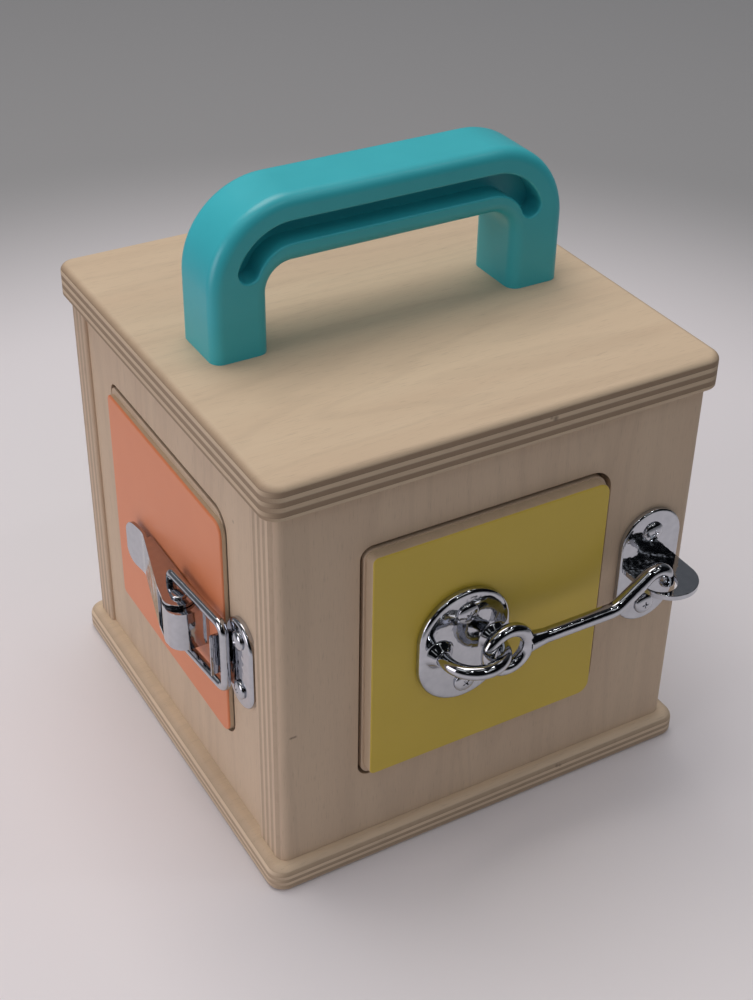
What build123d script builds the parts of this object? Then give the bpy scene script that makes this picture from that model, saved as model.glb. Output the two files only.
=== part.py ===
from build123d import *
from dataclasses import dataclass
import math
import os

# Wooden latch box: a plywood cube with four small doors, each held by another kind of latch,
# and a carrying handle on its lid. Lengths are in millimetres, angles in degrees.
# The origin is the centre of the underside, +Z is up, the front faces -Y and the left -X.

# Carcass
body_width = 160
body_depth = 160
wall_height = 141
front_thickness = 15
back_thickness = 12
side_thickness = 15
side_recess = 1.5
panel_corner_radius = 4
groove_radius = 2.5
base_thickness = 9
base_overhang = 4.5
base_edge_radius = 1.5
lid_thickness = 12
lid_overhang = 3
lid_top_radius = 2.5
lid_under_radius = 1
board_corner_radius = 6

wall_top = base_thickness + wall_height
lid_top = wall_top + lid_thickness
side_face = body_width / 2 - side_recess
inner_front = body_depth / 2 - front_thickness
inner_back = body_depth / 2 - back_thickness

# Dowels and wood screws that hold the boards together
dowel_radius = 3
dowel_in_wall = 16
dowel_in_lid = 7
corner_dowel_in_panel = 7
corner_dowel_rise = 31
corner_dowel_drop = 25
joint_inset_wide = 20
joint_inset_side = 32
wood_screw_radius = 1.75
wood_screw_head_radius = 3.5
wood_screw_head_height = 2.6
wood_screw_length = 30
wood_screw_sink = 0.4
recess_depth = 1
recess_width = 0.9

corner_dowel_low = base_thickness + corner_dowel_rise
corner_dowel_high = wall_top - corner_dowel_drop
joint_spread_wide = body_width / 2 - joint_inset_wide
joint_spread_side = body_depth / 2 - joint_inset_side

# Doorways: seen from outside, the hinge is on the left and the latch on the right
doorway_sill = 26.2
doorway_head = 20.8
front_hinge_stile = 29.3
front_latch_stile = 36.5
side_hinge_stile = 30.5
side_latch_stile = 35.5
hinge_corner_radius = 4.5
latch_corner_radius = 8
door_gap = 1.2
front_latch_gap = 2.4
door_proud = 0.3
front_face_proud = 4.4
side_face_proud = 2.4
front_face_hinge_margin = 2.1
side_face_hinge_margin = 1.9
front_face_latch_margin = 3.7
side_face_latch_margin = 0.3
face_low_margin = 3.5
front_face_high_margin = 1.8
side_face_high_margin = 3.8
face_hinge_corner = 2
face_latch_corner = 4.5
face_edge_radius = 0.6

doorway_low = base_thickness + doorway_sill
doorway_high = wall_top - doorway_head
doorway_middle = (doorway_low + doorway_high) / 2
doorway_height = doorway_high - doorway_low
front_doorway_left = front_hinge_stile - body_width / 2
front_doorway_right = body_width / 2 - front_latch_stile
side_doorway_left = side_hinge_stile - body_depth / 2
side_doorway_right = body_depth / 2 - side_latch_stile

# Hidden pivot pins of the doors
pin_radius = 1.5
pin_clearance = 0.06
pin_setback = 17.2
pin_depth = 3.2
pin_in_wall = 14
pin_in_door = 12

# Stop battens inside the latch side of each doorway
stop_width = 12
stop_lap = 5.2
stop_thickness = 8
stop_height = 70

# Carrying handle
handle_inset = 14
handle_rise = 52.6
handle_leg = 20
handle_bar = 22.9
handle_depth = 25
handle_outer_radius = 29
handle_inner_radius = 9
handle_edge_radius = 4
handle_slot_width = 7.5
handle_slot_depth = 9
handle_slot_down = 12.3
handle_slot_turn = 68
handle_slot_lip = 0.7
handle_screw_radius = 2
handle_screw_bite = 15
handle_screw_head_radius = 3.6
handle_screw_head_height = 2.4
washer_radius = 6
washer_thickness = 1.2
washer_clearance = 0.3

handle_width = body_width - 2 * handle_inset
handle_slot_radius = handle_outer_radius - handle_slot_down
handle_bend_along = handle_width / 2 - handle_outer_radius
handle_bend_rise = handle_rise - handle_outer_radius

# Small screws of the metal fittings
screw_radius = 1.4
screw_bite = 11
hook_screw_bite = 15
screw_head_radius = 3.9
screw_head_height = 1.7
screw_head_round = 0.9
head_round_share = 0.8

# Cabin hook on the front door: its places are measured from the doorway's latch side and middle
hook_plate_setback = 58.7
hook_plate_rise = 0.8
hook_plate_width = 34.4
hook_plate_height = 43.5
hook_plate_thickness = 2.8
hook_plate_round = 1.5
hook_screw_rise = 13.4
hook_screw_drop = 14.6
hook_line_rise = 1.1
staple_wire_radius = 2.4
staple_bend_radius = 10.2
staple_leg = 4.2
collar_radius = 5.2
collar_height = 2.8
collar_lip = 0.5
ring_from_plate = 10.6
ring_radius = 7.6
ring_wire_radius = 2.4
ring_neck_radius = 3.6
ring_neck_length = 7
hook_out = 15.5
rod_radius = 2.6
rod_rise_setback = 5
rod_rise_radius = 10
rod_peak_height = 15.3
rod_tip_past = 15.5
rod_tip_radius = 5
tip_round = 0.9

hook_plate_along = front_doorway_right - hook_plate_setback
hook_plate_up = doorway_middle + hook_plate_rise
hook_line_up = doorway_middle + hook_line_rise
ring_along = hook_plate_along + ring_from_plate
rod_rise_along = front_doorway_right - rod_rise_setback
rod_tip_along = front_doorway_right + rod_tip_past

# Keeper of the cabin hook
eye_past = 18.8
eye_rise = 1.8
eye_plate_width = 24.6
eye_plate_height = 46
eye_plate_thickness = 2
eye_plate_round = 0.8
eye_screw_rise = 14.4
eye_screw_drop = 16.2
tab_top_rise = 3.8
tab_thickness = 2
tab_radius = 10.6
tab_reach = 23
hook_hover = 0.3
eye_hole_radius = 6
eye_hole_past = 15.1
eye_hole_out = 12.9

eye_along = front_doorway_right + eye_past
eye_up = doorway_middle + eye_rise
tab_top_up = doorway_middle + tab_top_rise
eye_hole_along = front_doorway_right + eye_hole_past

# Draw latch on the left door: its pivot is measured from the doorway's latch side, the rest from the pivot
clasp_drop = 5.2
clasp_pivot_setback = 22.2
clasp_pivot_out = 8.5
clasp_sheet = 1.2
clasp_base_behind = 26.3
clasp_base_ahead = 10.3
clasp_base_half = 7.2
clasp_base_corner = 2.5
clasp_screw_behind = 19.9
clasp_screw_spread = 3.9
clasp_screw_head_radius = 2.6
clasp_screw_head_height = 0.9
barrel_behind = 4.8
barrel_ahead = 9
barrel_out = 14.6
barrel_half = 7.5
barrel_corner = 5.6
cheek_gap = 0.3
ear_radius = 5.6
clasp_pin_radius = 1.5
clasp_pin_head_radius = 2.7
clasp_pin_head = 1.1
lever_web_behind = 8.8
lever_web_out = 12
lever_dip_behind = 38.8
lever_dip_out = 4.4
lever_dip_radius = 12
lever_tip_behind = 50.8
lever_tip_out = 6
lever_tip_corner = 6
cheek_end_behind = 35.3
bail_pivot_behind = 8.3
bail_pivot_out = 7.5
bail_radius = 1.7
bail_clearance = 0.08
bail_head_gap = 1.4
bail_stub_inside = 0.1
bail_bar_ahead = 27
bail_bar_out = 4.7
bail_pivot_bend = 2.3
bail_bar_bend = 3.6

clasp_up = doorway_middle - clasp_drop
clasp_pivot_along = side_doorway_right - clasp_pivot_setback
clasp_base_left = clasp_pivot_along - clasp_base_behind
clasp_base_right = clasp_pivot_along + clasp_base_ahead
clasp_screw_along = clasp_pivot_along - clasp_screw_behind
lever_web_along = clasp_pivot_along - lever_web_behind
lever_dip_along = clasp_pivot_along - lever_dip_behind
lever_tip_along = clasp_pivot_along - lever_tip_behind
cheek_end_along = clasp_pivot_along - cheek_end_behind
bail_pivot_along = clasp_pivot_along - bail_pivot_behind
bail_bar_along = clasp_pivot_along + bail_bar_ahead

# Keeper of the draw latch
catch_past = 10.1
catch_drop = 4.5
catch_width = 18
catch_height = 34.6
catch_thickness = 2.4
catch_round = 1.2
catch_screw_rise = 10.6
catch_screw_drop = 9.8
catch_screw_shift = 1
catch_screw_head_radius = 3.4
lip_sheet = 1.1
lip_half = 8
lip_back = 9.1
lip_out = 8
lip_curl = 1.1
lip_bend = 0.9

catch_along = side_doorway_right + catch_past
catch_up = doorway_middle - catch_drop
catch_screw_along = catch_along + catch_screw_shift
lip_along = catch_along - lip_back
lip_tip_along = lip_along + lip_curl

# Barrel bolt on the right door, measured from the doorway's latch side
bolt_plate_setback = 2.5
bolt_plate_length = 51
bolt_plate_half = 13
bolt_plate_thickness = 1.6
bolt_plate_corner = 3
bolt_radius = 3
bolt_clearance = 0.4
bolt_lift = 4.4
guide_wall = 1.5
guide_length = 8
guide_left_setback = 38.5
guide_right_setback = 13.5
bolt_setback = 3
bolt_length = 48.5
bolt_screw_rise = 9.2
bolt_screw_inset = 6
bolt_screw_head_radius = 3.2
bolt_knob_setback = 28.1
bolt_knob_radius = 4
bolt_knob_stem_radius = 1.8
bolt_knob_reach = 11
bolt_knob_height = 4.5
bolt_end_round = 0.8
socket_past = 7.1
socket_length = 8
socket_plate_width = 13

bolt_up = doorway_middle
bolt_plate_right = side_doorway_right - bolt_plate_setback
bolt_plate_left = bolt_plate_right - bolt_plate_length
guide_left_along = side_doorway_right - guide_left_setback
guide_right_along = side_doorway_right - guide_right_setback
bolt_right = side_doorway_right - bolt_setback
bolt_left = bolt_right - bolt_length
bolt_knob_along = side_doorway_right - bolt_knob_setback
socket_along = side_doorway_right + socket_past

# Turn button and pull knob at the back
button_past = 9.5
button_length = 36
button_width = 12.6
button_thickness = 4.5
button_round = 1.3
button_gap = 0.5
button_spacer_radius = 5
button_screw_radius = 2
button_screw_bite = 9
button_screw_head_radius = 4.2
button_screw_head_height = 2.2
button_clearance = 0.08
knob_setback = 23.5
knob_radius = 10
knob_neck_radius = 5.5
knob_neck = 5
knob_height = 16
knob_crown = 4
knob_screw_bite = 8
knob_screw_head_radius = 3.4
knob_screw_head_height = 2

button_along = front_doorway_right + button_past
button_up = doorway_middle
knob_along = front_doorway_right - knob_setback
knob_up = doorway_middle

down = Vector(0, 0, -1)
front_wall = Plane(origin=(0, -body_depth / 2, 0), x_dir=(1, 0, 0), z_dir=(0, -1, 0))
left_wall_face = Plane(origin=(-side_face, 0, 0), x_dir=(0, -1, 0), z_dir=(-1, 0, 0))
right_wall_face = Plane(origin=(side_face, 0, 0), x_dir=(0, 1, 0), z_dir=(1, 0, 0))
back_wall = Plane(origin=(0, body_depth / 2, 0), x_dir=(-1, 0, 0), z_dir=(0, 1, 0))


def on_wall(wall, along, up, out=0):
    """A plane parallel to a wall, its origin along, up and out from the wall's own."""
    return Plane(origin=wall.from_local_coords((along, up, out)), x_dir=wall.x_dir, z_dir=wall.z_dir)


def from_above(wall, along, up, out=0):
    """A level plane at a wall: x runs along the wall, y out of it and z down."""
    return Plane(origin=wall.from_local_coords((along, up, out)), x_dir=wall.x_dir, z_dir=down)


def save(part, name):
    part.label = name
    export_step(part, f"parts/{name}.step")


@dataclass
class Doorway:
    """An opening in a wall, with the sizes of the door that fills it."""

    wall: Plane
    thickness: float
    left: float
    right: float
    proud: float
    latch_gap: float
    hinge_margin: float
    latch_margin: float
    high_margin: float

    @property
    def middle(self):
        return (self.left + self.right) / 2

    @property
    def width(self):
        return self.right - self.left

    @property
    def pin_along(self):
        return self.left + pin_setback


front_doorway = Doorway(
    front_wall, front_thickness, front_doorway_left, front_doorway_right,
    front_face_proud, front_latch_gap,
    front_face_hinge_margin, front_face_latch_margin, front_face_high_margin,
)
left_doorway = Doorway(
    left_wall_face, side_thickness, side_doorway_left, side_doorway_right,
    side_face_proud, door_gap,
    side_face_hinge_margin, side_face_latch_margin, side_face_high_margin,
)
right_doorway = Doorway(
    right_wall_face, side_thickness, side_doorway_left, side_doorway_right,
    side_face_proud, door_gap,
    side_face_hinge_margin, side_face_latch_margin, side_face_high_margin,
)
back_doorway = Doorway(
    back_wall, back_thickness, front_doorway_left, front_doorway_right,
    side_face_proud, door_gap,
    side_face_hinge_margin, side_face_latch_margin, side_face_high_margin,
)


def rounded_board(width, height, hinge_radius, latch_radius):
    """A board's outline with one corner radius at its hinge side and one at its latch side."""
    with BuildSketch(Plane.XY) as outline:
        Rectangle(width, height)
        fillet(outline.vertices().group_by(Axis.X)[0], radius=hinge_radius)
        fillet(outline.vertices().group_by(Axis.X)[-1], radius=latch_radius)
    return outline.sketch


def bore(plane, radius, depth):
    """Cut a round hole into the part being built, from a plane against its normal."""
    with BuildSketch(plane) as hole:
        Circle(radius)
    extrude(hole.sketch, amount=-depth, mode=Mode.SUBTRACT)


def peg(plane, radius, depth, mode=Mode.ADD):
    """Add a round rod to the part being built, from a plane against its normal."""
    with BuildSketch(plane) as section:
        Circle(radius)
    extrude(section.sketch, amount=-depth, mode=mode)


def cross_recess(plane, span):
    """Cut the cross of a driver recess into a screw head whose top lies on the plane."""
    with BuildSketch(plane) as cross:
        Rectangle(span, recess_width)
        Rectangle(recess_width, span)
    extrude(cross.sketch, amount=-recess_depth, mode=Mode.SUBTRACT)


def round_head_screw(plane, head_radius, head_height, shank_radius, bite):
    """A screw whose head sits on the plane and whose shank goes in behind it."""
    with BuildSketch(Plane(origin=plane.origin, x_dir=plane.x_dir, z_dir=-plane.y_dir)) as half_head:
        Rectangle(head_radius, head_height, align=(Align.MIN, Align.MIN))
        rim = half_head.vertices().group_by(Axis.X)[-1].sort_by(Axis.Y)[-1]
        fillet(rim, radius=min(screw_head_round, head_height * head_round_share))
    revolve(half_head.sketch, axis=Axis(plane.origin, plane.z_dir))
    peg(plane, shank_radius, bite)
    cross_recess(plane.offset(head_height), head_radius)


# Base board, on which the box stands
wall_joints = [
    (-joint_spread_wide, -body_depth / 2 + front_thickness / 2),
    (joint_spread_wide, -body_depth / 2 + front_thickness / 2),
    (-joint_spread_wide, body_depth / 2 - back_thickness / 2),
    (joint_spread_wide, body_depth / 2 - back_thickness / 2),
    (-side_face + side_thickness / 2, -joint_spread_side),
    (-side_face + side_thickness / 2, joint_spread_side),
    (side_face - side_thickness / 2, -joint_spread_side),
    (side_face - side_thickness / 2, joint_spread_side),
]
base_width = body_width + 2 * base_overhang
base_depth = body_depth + 2 * base_overhang


def wood_screw(x, y):
    """A countersunk wood screw from below, sunk a little into the base board."""
    with BuildSketch(Plane(origin=(x, y, wood_screw_sink))) as head:
        Circle(wood_screw_head_radius)
    with BuildSketch(Plane(origin=(x, y, wood_screw_sink + wood_screw_head_height))) as neck:
        Circle(wood_screw_radius)
    loft([head.sketch.face(), neck.sketch.face()])
    with BuildSketch(Plane(origin=(x, y, wood_screw_sink + wood_screw_head_height))) as shank:
        Circle(wood_screw_radius)
    extrude(shank.sketch, amount=wood_screw_length - wood_screw_head_height)
    cross_recess(Plane(origin=(x, y, wood_screw_sink), x_dir=(1, 0, 0), z_dir=down), wood_screw_head_radius)


def wood_screw_hole(x, y):
    """The room of a wood screw: a countersink, its sunk mouth and the shank's hole."""
    with BuildSketch(Plane(origin=(x, y, 0))) as mouth:
        Circle(wood_screw_head_radius)
    extrude(mouth.sketch, amount=wood_screw_sink, mode=Mode.SUBTRACT)
    with BuildSketch(Plane(origin=(x, y, wood_screw_sink))) as head:
        Circle(wood_screw_head_radius)
    with BuildSketch(Plane(origin=(x, y, wood_screw_sink + wood_screw_head_height))) as neck:
        Circle(wood_screw_radius)
    loft([head.sketch.face(), neck.sketch.face()], mode=Mode.SUBTRACT)
    with BuildSketch(Plane(origin=(x, y, wood_screw_sink + wood_screw_head_height))) as shank:
        Circle(wood_screw_radius)
    extrude(shank.sketch, amount=wood_screw_length - wood_screw_head_height, mode=Mode.SUBTRACT)


with BuildPart() as base_board:
    with BuildSketch(Plane.XY) as base_outline:
        RectangleRounded(base_width, base_depth, board_corner_radius)
    extrude(amount=base_thickness)
    rims = base_board.faces().sort_by(Axis.Z)
    fillet(rims[-1].edges() + rims[0].edges(), radius=base_edge_radius)
    for x, y in wall_joints:
        wood_screw_hole(x, y)


def cut_doorway(doorway):
    """Cut the opening, and the bores of the door's two pins, into the wall being built."""
    outline = rounded_board(doorway.width, doorway_height, hinge_corner_radius, latch_corner_radius)
    opening = on_wall(doorway.wall, doorway.middle, doorway_middle) * outline
    extrude(opening, amount=-doorway.thickness, mode=Mode.SUBTRACT)
    for top, bottom in ((wall_top, doorway_high), (doorway_low, base_thickness)):
        with BuildSketch(from_above(doorway.wall, doorway.pin_along, top, -pin_depth)) as hole:
            Circle(pin_radius + pin_clearance)
        extrude(hole.sketch, amount=top - bottom, mode=Mode.SUBTRACT)


def cut_joints(places):
    """Cut the dowel holes in the top edge and the screw holes in the bottom edge of a wall."""
    for x, y in places:
        bore(Plane(origin=(x, y, wall_top)), dowel_radius, dowel_in_wall)
        wood_screw_hole(x, y)


corner_dowel_heights = (corner_dowel_low, corner_dowel_high)


def corner_dowel_plane(x, y, z, direction):
    return Plane(origin=(x, y, z), x_dir=(1, 0, 0), z_dir=(0, direction, 0))


def cut_screw_holes(places, radius, bite):
    """Cut the holes of screws whose heads sit on the given planes."""
    for place in places:
        bore(place, radius, bite)


side_middle = side_face - side_thickness / 2
hook_front = front_face_proud + hook_plate_thickness
hook_screw_places = [
    on_wall(front_wall, hook_plate_along, hook_plate_up + hook_screw_rise, hook_front),
    on_wall(front_wall, hook_plate_along, hook_plate_up - hook_screw_drop, hook_front),
]
eye_screw_places = [
    on_wall(front_wall, eye_along, eye_up + eye_screw_rise, eye_plate_thickness),
    on_wall(front_wall, eye_along, eye_up - eye_screw_drop, eye_plate_thickness),
]
catch_screw_places = [
    on_wall(left_wall_face, catch_screw_along, catch_up + catch_screw_rise, catch_thickness),
    on_wall(left_wall_face, catch_screw_along, catch_up - catch_screw_drop, catch_thickness),
]
socket_screw_places = [
    on_wall(right_wall_face, socket_along, bolt_up + bolt_screw_rise, bolt_plate_thickness),
    on_wall(right_wall_face, socket_along, bolt_up - bolt_screw_rise, bolt_plate_thickness),
]
button_back = side_face_proud + button_gap
button_screw_place = on_wall(back_wall, button_along, button_up, button_back + button_thickness)

with BuildPart() as front_panel:
    with BuildSketch(Plane.XY.offset(base_thickness)):
        with Locations((0, -body_depth / 2 + front_thickness / 2)):
            Rectangle(body_width, front_thickness)
    extrude(amount=wall_height)
    outer_edges = front_panel.edges().filter_by(Axis.Z).group_by(Axis.Y)[0]
    fillet(outer_edges, radius=panel_corner_radius)
    cut_doorway(front_doorway)
    cut_joints(wall_joints[0:2])
    for z in corner_dowel_heights:
        for x in (-side_middle, side_middle):
            bore(corner_dowel_plane(x, -inner_front, z, 1), dowel_radius, corner_dowel_in_panel)
    cut_screw_holes(eye_screw_places, screw_radius, screw_bite)

with BuildPart() as back_panel:
    with BuildSketch(Plane.XY.offset(base_thickness)):
        with Locations((0, body_depth / 2 - back_thickness / 2)):
            Rectangle(body_width, back_thickness)
    extrude(amount=wall_height)
    inner_edges = back_panel.edges().filter_by(Axis.Z).group_by(Axis.Y)[0]
    outer_edges = back_panel.edges().filter_by(Axis.Z).group_by(Axis.Y)[-1]
    fillet(inner_edges, radius=groove_radius / 2)
    fillet(outer_edges, radius=groove_radius)
    cut_doorway(back_doorway)
    cut_joints(wall_joints[2:4])
    for z in corner_dowel_heights:
        for x in (-side_middle, side_middle):
            bore(corner_dowel_plane(x, inner_back, z, -1), dowel_radius, corner_dowel_in_panel)
    bore(button_screw_place, button_screw_radius, button_back + button_thickness + button_screw_bite)


def side_wall_board(doorway, side, places, screw_places):
    """One side wall, fitted between the front and back panels."""
    with BuildPart() as board:
        with BuildSketch(Plane.XY.offset(base_thickness)) as plan:
            with Locations((side * side_middle, (inner_back - inner_front) / 2)):
                Rectangle(side_thickness, inner_front + inner_back)
        extrude(plan.sketch, amount=wall_height)
        cut_doorway(doorway)
        cut_joints(places)
        for z in corner_dowel_heights:
            bore(corner_dowel_plane(side * side_middle, -inner_front, z, -1), dowel_radius, dowel_in_wall)
            bore(corner_dowel_plane(side * side_middle, inner_back, z, 1), dowel_radius, dowel_in_wall)
        cut_screw_holes(screw_places, screw_radius, screw_bite)
    return board


left_wall = side_wall_board(left_doorway, -1, wall_joints[4:6], catch_screw_places)
right_wall = side_wall_board(right_doorway, 1, wall_joints[6:8], socket_screw_places)

lid_width = body_width + 2 * lid_overhang
lid_depth = body_depth + 2 * lid_overhang
handle_screw_spots = [
    (-handle_width / 2 + handle_leg / 2, 0),
    (handle_width / 2 - handle_leg / 2, 0),
]

with BuildPart() as lid_board:
    with BuildSketch(Plane.XY.offset(wall_top)):
        RectangleRounded(lid_width, lid_depth, board_corner_radius)
    extrude(amount=lid_thickness)
    rims = lid_board.faces().sort_by(Axis.Z)
    fillet(rims[-1].edges(), radius=lid_top_radius)
    fillet(rims[0].edges(), radius=lid_under_radius)
    for x, y in wall_joints:
        bore(Plane(origin=(x, y, wall_top), x_dir=(1, 0, 0), z_dir=down), dowel_radius, dowel_in_lid)
    for x, y in handle_screw_spots:
        bore(Plane(origin=(x, y, lid_top)), handle_screw_radius, lid_thickness)

with BuildPart() as lid_dowels:
    for x, y in wall_joints:
        peg(Plane(origin=(x, y, wall_top + dowel_in_lid)), dowel_radius, dowel_in_lid + dowel_in_wall)

with BuildPart() as corner_dowels:
    for z in corner_dowel_heights:
        for x in (-side_middle, side_middle):
            length = corner_dowel_in_panel + dowel_in_wall
            front_end = -inner_front - corner_dowel_in_panel
            back_end = inner_back + corner_dowel_in_panel
            peg(corner_dowel_plane(x, front_end, z, -1), dowel_radius, length)
            peg(corner_dowel_plane(x, back_end, z, 1), dowel_radius, length)

with BuildPart() as base_screws:
    for x, y in wall_joints:
        wood_screw(x, y)

# Stop battens, glued inside each wall, against which the doors close
def stop_batten(doorway):
    with BuildPart() as batten:
        middle = doorway.right - stop_lap + stop_width / 2
        with BuildSketch(on_wall(doorway.wall, middle, doorway_middle, -doorway.thickness)) as section:
            Rectangle(stop_width, stop_height)
        extrude(section.sketch, amount=-stop_thickness)
    return batten


front_stop = stop_batten(front_doorway)
left_stop = stop_batten(left_doorway)
right_stop = stop_batten(right_doorway)
back_stop = stop_batten(back_doorway)

# Carrying handle: an arch with a groove round each face, screwed on from under the lid
handle_inner_width = handle_width - 2 * handle_leg
handle_inner_rise = handle_rise - handle_bar

with BuildPart() as carry_handle:
    with BuildSketch(Plane.XZ) as arch:
        with Locations((0, lid_top + handle_rise / 2)):
            Rectangle(handle_width, handle_rise)
        fillet(arch.vertices().group_by(Axis.Y)[-1], radius=handle_outer_radius)
    extrude(amount=handle_depth / 2, both=True)
    with BuildSketch(Plane.XZ) as finger_gap:
        with Locations((0, lid_top + handle_inner_rise / 2)):
            Rectangle(handle_inner_width, handle_inner_rise)
        fillet(finger_gap.vertices().group_by(Axis.Y)[-1], radius=handle_inner_radius)
    extrude(amount=handle_depth / 2, both=True, mode=Mode.SUBTRACT)
    for side in (0, -1):
        rim = carry_handle.faces().sort_by(Axis.Y)[side].edges()
        above_lid = rim.filter_by(lambda edge: edge.center().Z > lid_top + handle_edge_radius)
        fillet(above_lid, radius=handle_edge_radius)
    for direction in (-1, 1):
        groove_plane = Plane(
            origin=(0, direction * handle_depth / 2, lid_top), x_dir=(1, 0, 0), z_dir=(0, -1, 0)
        )
        with BuildSketch(groove_plane) as groove:
            with BuildLine() as route:
                level = handle_bend_rise + handle_slot_radius
                left_bend = (-handle_bend_along, handle_bend_rise)
                right_bend = (handle_bend_along, handle_bend_rise)
                CenterArc(left_bend, handle_slot_radius, 90, handle_slot_turn)
                Line((-handle_bend_along, level), (handle_bend_along, level))
                CenterArc(right_bend, handle_slot_radius, 90, -handle_slot_turn)
            trace(line_width=handle_slot_width)
            with Locations(*[end @ 1 for end in route.edges().filter_by(GeomType.CIRCLE)]):
                Circle(handle_slot_width / 2)
        extrude(groove.sketch, amount=handle_slot_depth, both=True, mode=Mode.SUBTRACT)
    for side in (0, -1):
        lip = carry_handle.faces().sort_by(Axis.Y)[side].inner_wires()[0]
        fillet(lip.edges(), radius=handle_slot_lip)
    for x, y in handle_screw_spots:
        bore(Plane(origin=(x, y, lid_top), x_dir=(1, 0, 0), z_dir=down), handle_screw_radius, handle_screw_bite)

with BuildPart() as handle_washers:
    for x, y in handle_screw_spots:
        under_lid = Plane(origin=(x, y, wall_top))
        peg(under_lid, washer_radius, washer_thickness)
        bore(under_lid, handle_screw_radius + washer_clearance, washer_thickness)

with BuildPart() as handle_screws:
    for x, y in handle_screw_spots:
        under_washer = Plane(origin=(x, y, wall_top - washer_thickness), x_dir=(1, 0, 0), z_dir=down)
        round_head_screw(
            under_washer, handle_screw_head_radius, handle_screw_head_height, handle_screw_radius,
            washer_thickness + lid_thickness + handle_screw_bite,
        )


def door_board(doorway, screw_places=(), radius=screw_radius, bite=screw_bite):
    """The plywood board that fills an opening, with the tight bores of its two pivot pins."""
    with BuildPart() as board:
        width = doorway.width - door_gap - doorway.latch_gap
        outline = rounded_board(
            width, doorway_height - 2 * door_gap,
            hinge_corner_radius - door_gap, latch_corner_radius - doorway.latch_gap,
        )
        middle = doorway.left + door_gap + width / 2
        front = on_wall(doorway.wall, middle, doorway_middle, door_proud)
        extrude(front * outline, amount=-doorway.thickness)
        for top in (doorway_high - door_gap, doorway_low + door_gap + pin_in_door):
            with BuildSketch(from_above(doorway.wall, doorway.pin_along, top, -pin_depth)) as hole:
                Circle(pin_radius)
            extrude(hole.sketch, amount=pin_in_door, mode=Mode.SUBTRACT)
        cut_screw_holes(screw_places, radius, bite)
    return board


def door_face(doorway, screw_places=(), radius=screw_radius, bite=screw_bite):
    """The painted panel glued to a door board, a little smaller than the opening."""
    width = doorway.width - doorway.hinge_margin - doorway.latch_margin
    height = doorway_height - face_low_margin - doorway.high_margin
    middle = doorway.left + doorway.hinge_margin + width / 2
    rise = doorway_low + face_low_margin + height / 2
    with BuildPart() as face:
        outline = rounded_board(width, height, face_hinge_corner, face_latch_corner)
        extrude(on_wall(doorway.wall, middle, rise, door_proud) * outline, amount=doorway.proud - door_proud)
        outward = Axis(doorway.wall.origin, doorway.wall.z_dir)
        fillet(face.faces().sort_by(outward)[-1].edges(), radius=face_edge_radius)
        cut_screw_holes(screw_places, radius, bite)
    return face


def door_pins(doorway):
    """The two steel pins a door turns on: tight in the door, running in the wall."""
    with BuildPart() as pins:
        length = pin_in_wall + door_gap + pin_in_door
        for top in (doorway_high + pin_in_wall, doorway_low + door_gap + pin_in_door):
            with BuildSketch(from_above(doorway.wall, doorway.pin_along, top, -pin_depth)) as section:
                Circle(pin_radius)
            extrude(section.sketch, amount=length)
    return pins


def screws_at(places, head_radius, head_height, radius, bite):
    """A set of round-head screws, one on each plane."""
    with BuildPart() as screws:
        for place in places:
            round_head_screw(place, head_radius, head_height, radius, bite)
    return screws


# Cabin hook: an oval plate with a wire staple, and a rod whose ring hangs on the staple
front_door = door_board(front_doorway, hook_screw_places, screw_radius, hook_screw_bite)
front_door_face = door_face(front_doorway, hook_screw_places, screw_radius, hook_screw_bite)
front_door_pins = door_pins(front_doorway)
hook_plate_screws = screws_at(
    hook_screw_places, screw_head_radius, screw_head_height, screw_radius, hook_screw_bite
)
staple_roots = [
    on_wall(front_wall, hook_plate_along + side * staple_bend_radius, hook_line_up, hook_front)
    for side in (-1, 1)
]

with BuildPart() as hook_plate:
    with BuildSketch(on_wall(front_wall, hook_plate_along, hook_plate_up, front_face_proud)):
        SlotOverall(hook_plate_height, hook_plate_width, rotation=90)
    extrude(amount=hook_plate_thickness)
    fillet(hook_plate.faces().sort_by(Axis.Y)[0].edges(), radius=hook_plate_round)
    for root in staple_roots:
        with BuildSketch(root) as wide:
            Circle(collar_radius)
        with BuildSketch(root.offset(collar_height)) as narrow:
            Circle(staple_wire_radius + collar_lip)
        loft([wide.sketch.face(), narrow.sketch.face()])
        bore(root.offset(collar_height), staple_wire_radius, collar_height)
    cut_screw_holes(hook_screw_places, screw_radius, hook_plate_thickness)

with BuildPart() as hook_staple:
    with BuildLine(from_above(front_wall, hook_plate_along, hook_line_up, hook_front)) as bow:
        Line((-staple_bend_radius, 0), (-staple_bend_radius, staple_leg))
        CenterArc((0, staple_leg), staple_bend_radius, 180, -180)
        Line((staple_bend_radius, staple_leg), (staple_bend_radius, 0))
    with BuildSketch(staple_roots[0]):
        Circle(staple_wire_radius)
    sweep(path=bow.wires()[0])

rod_start = ring_along + ring_radius

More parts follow.
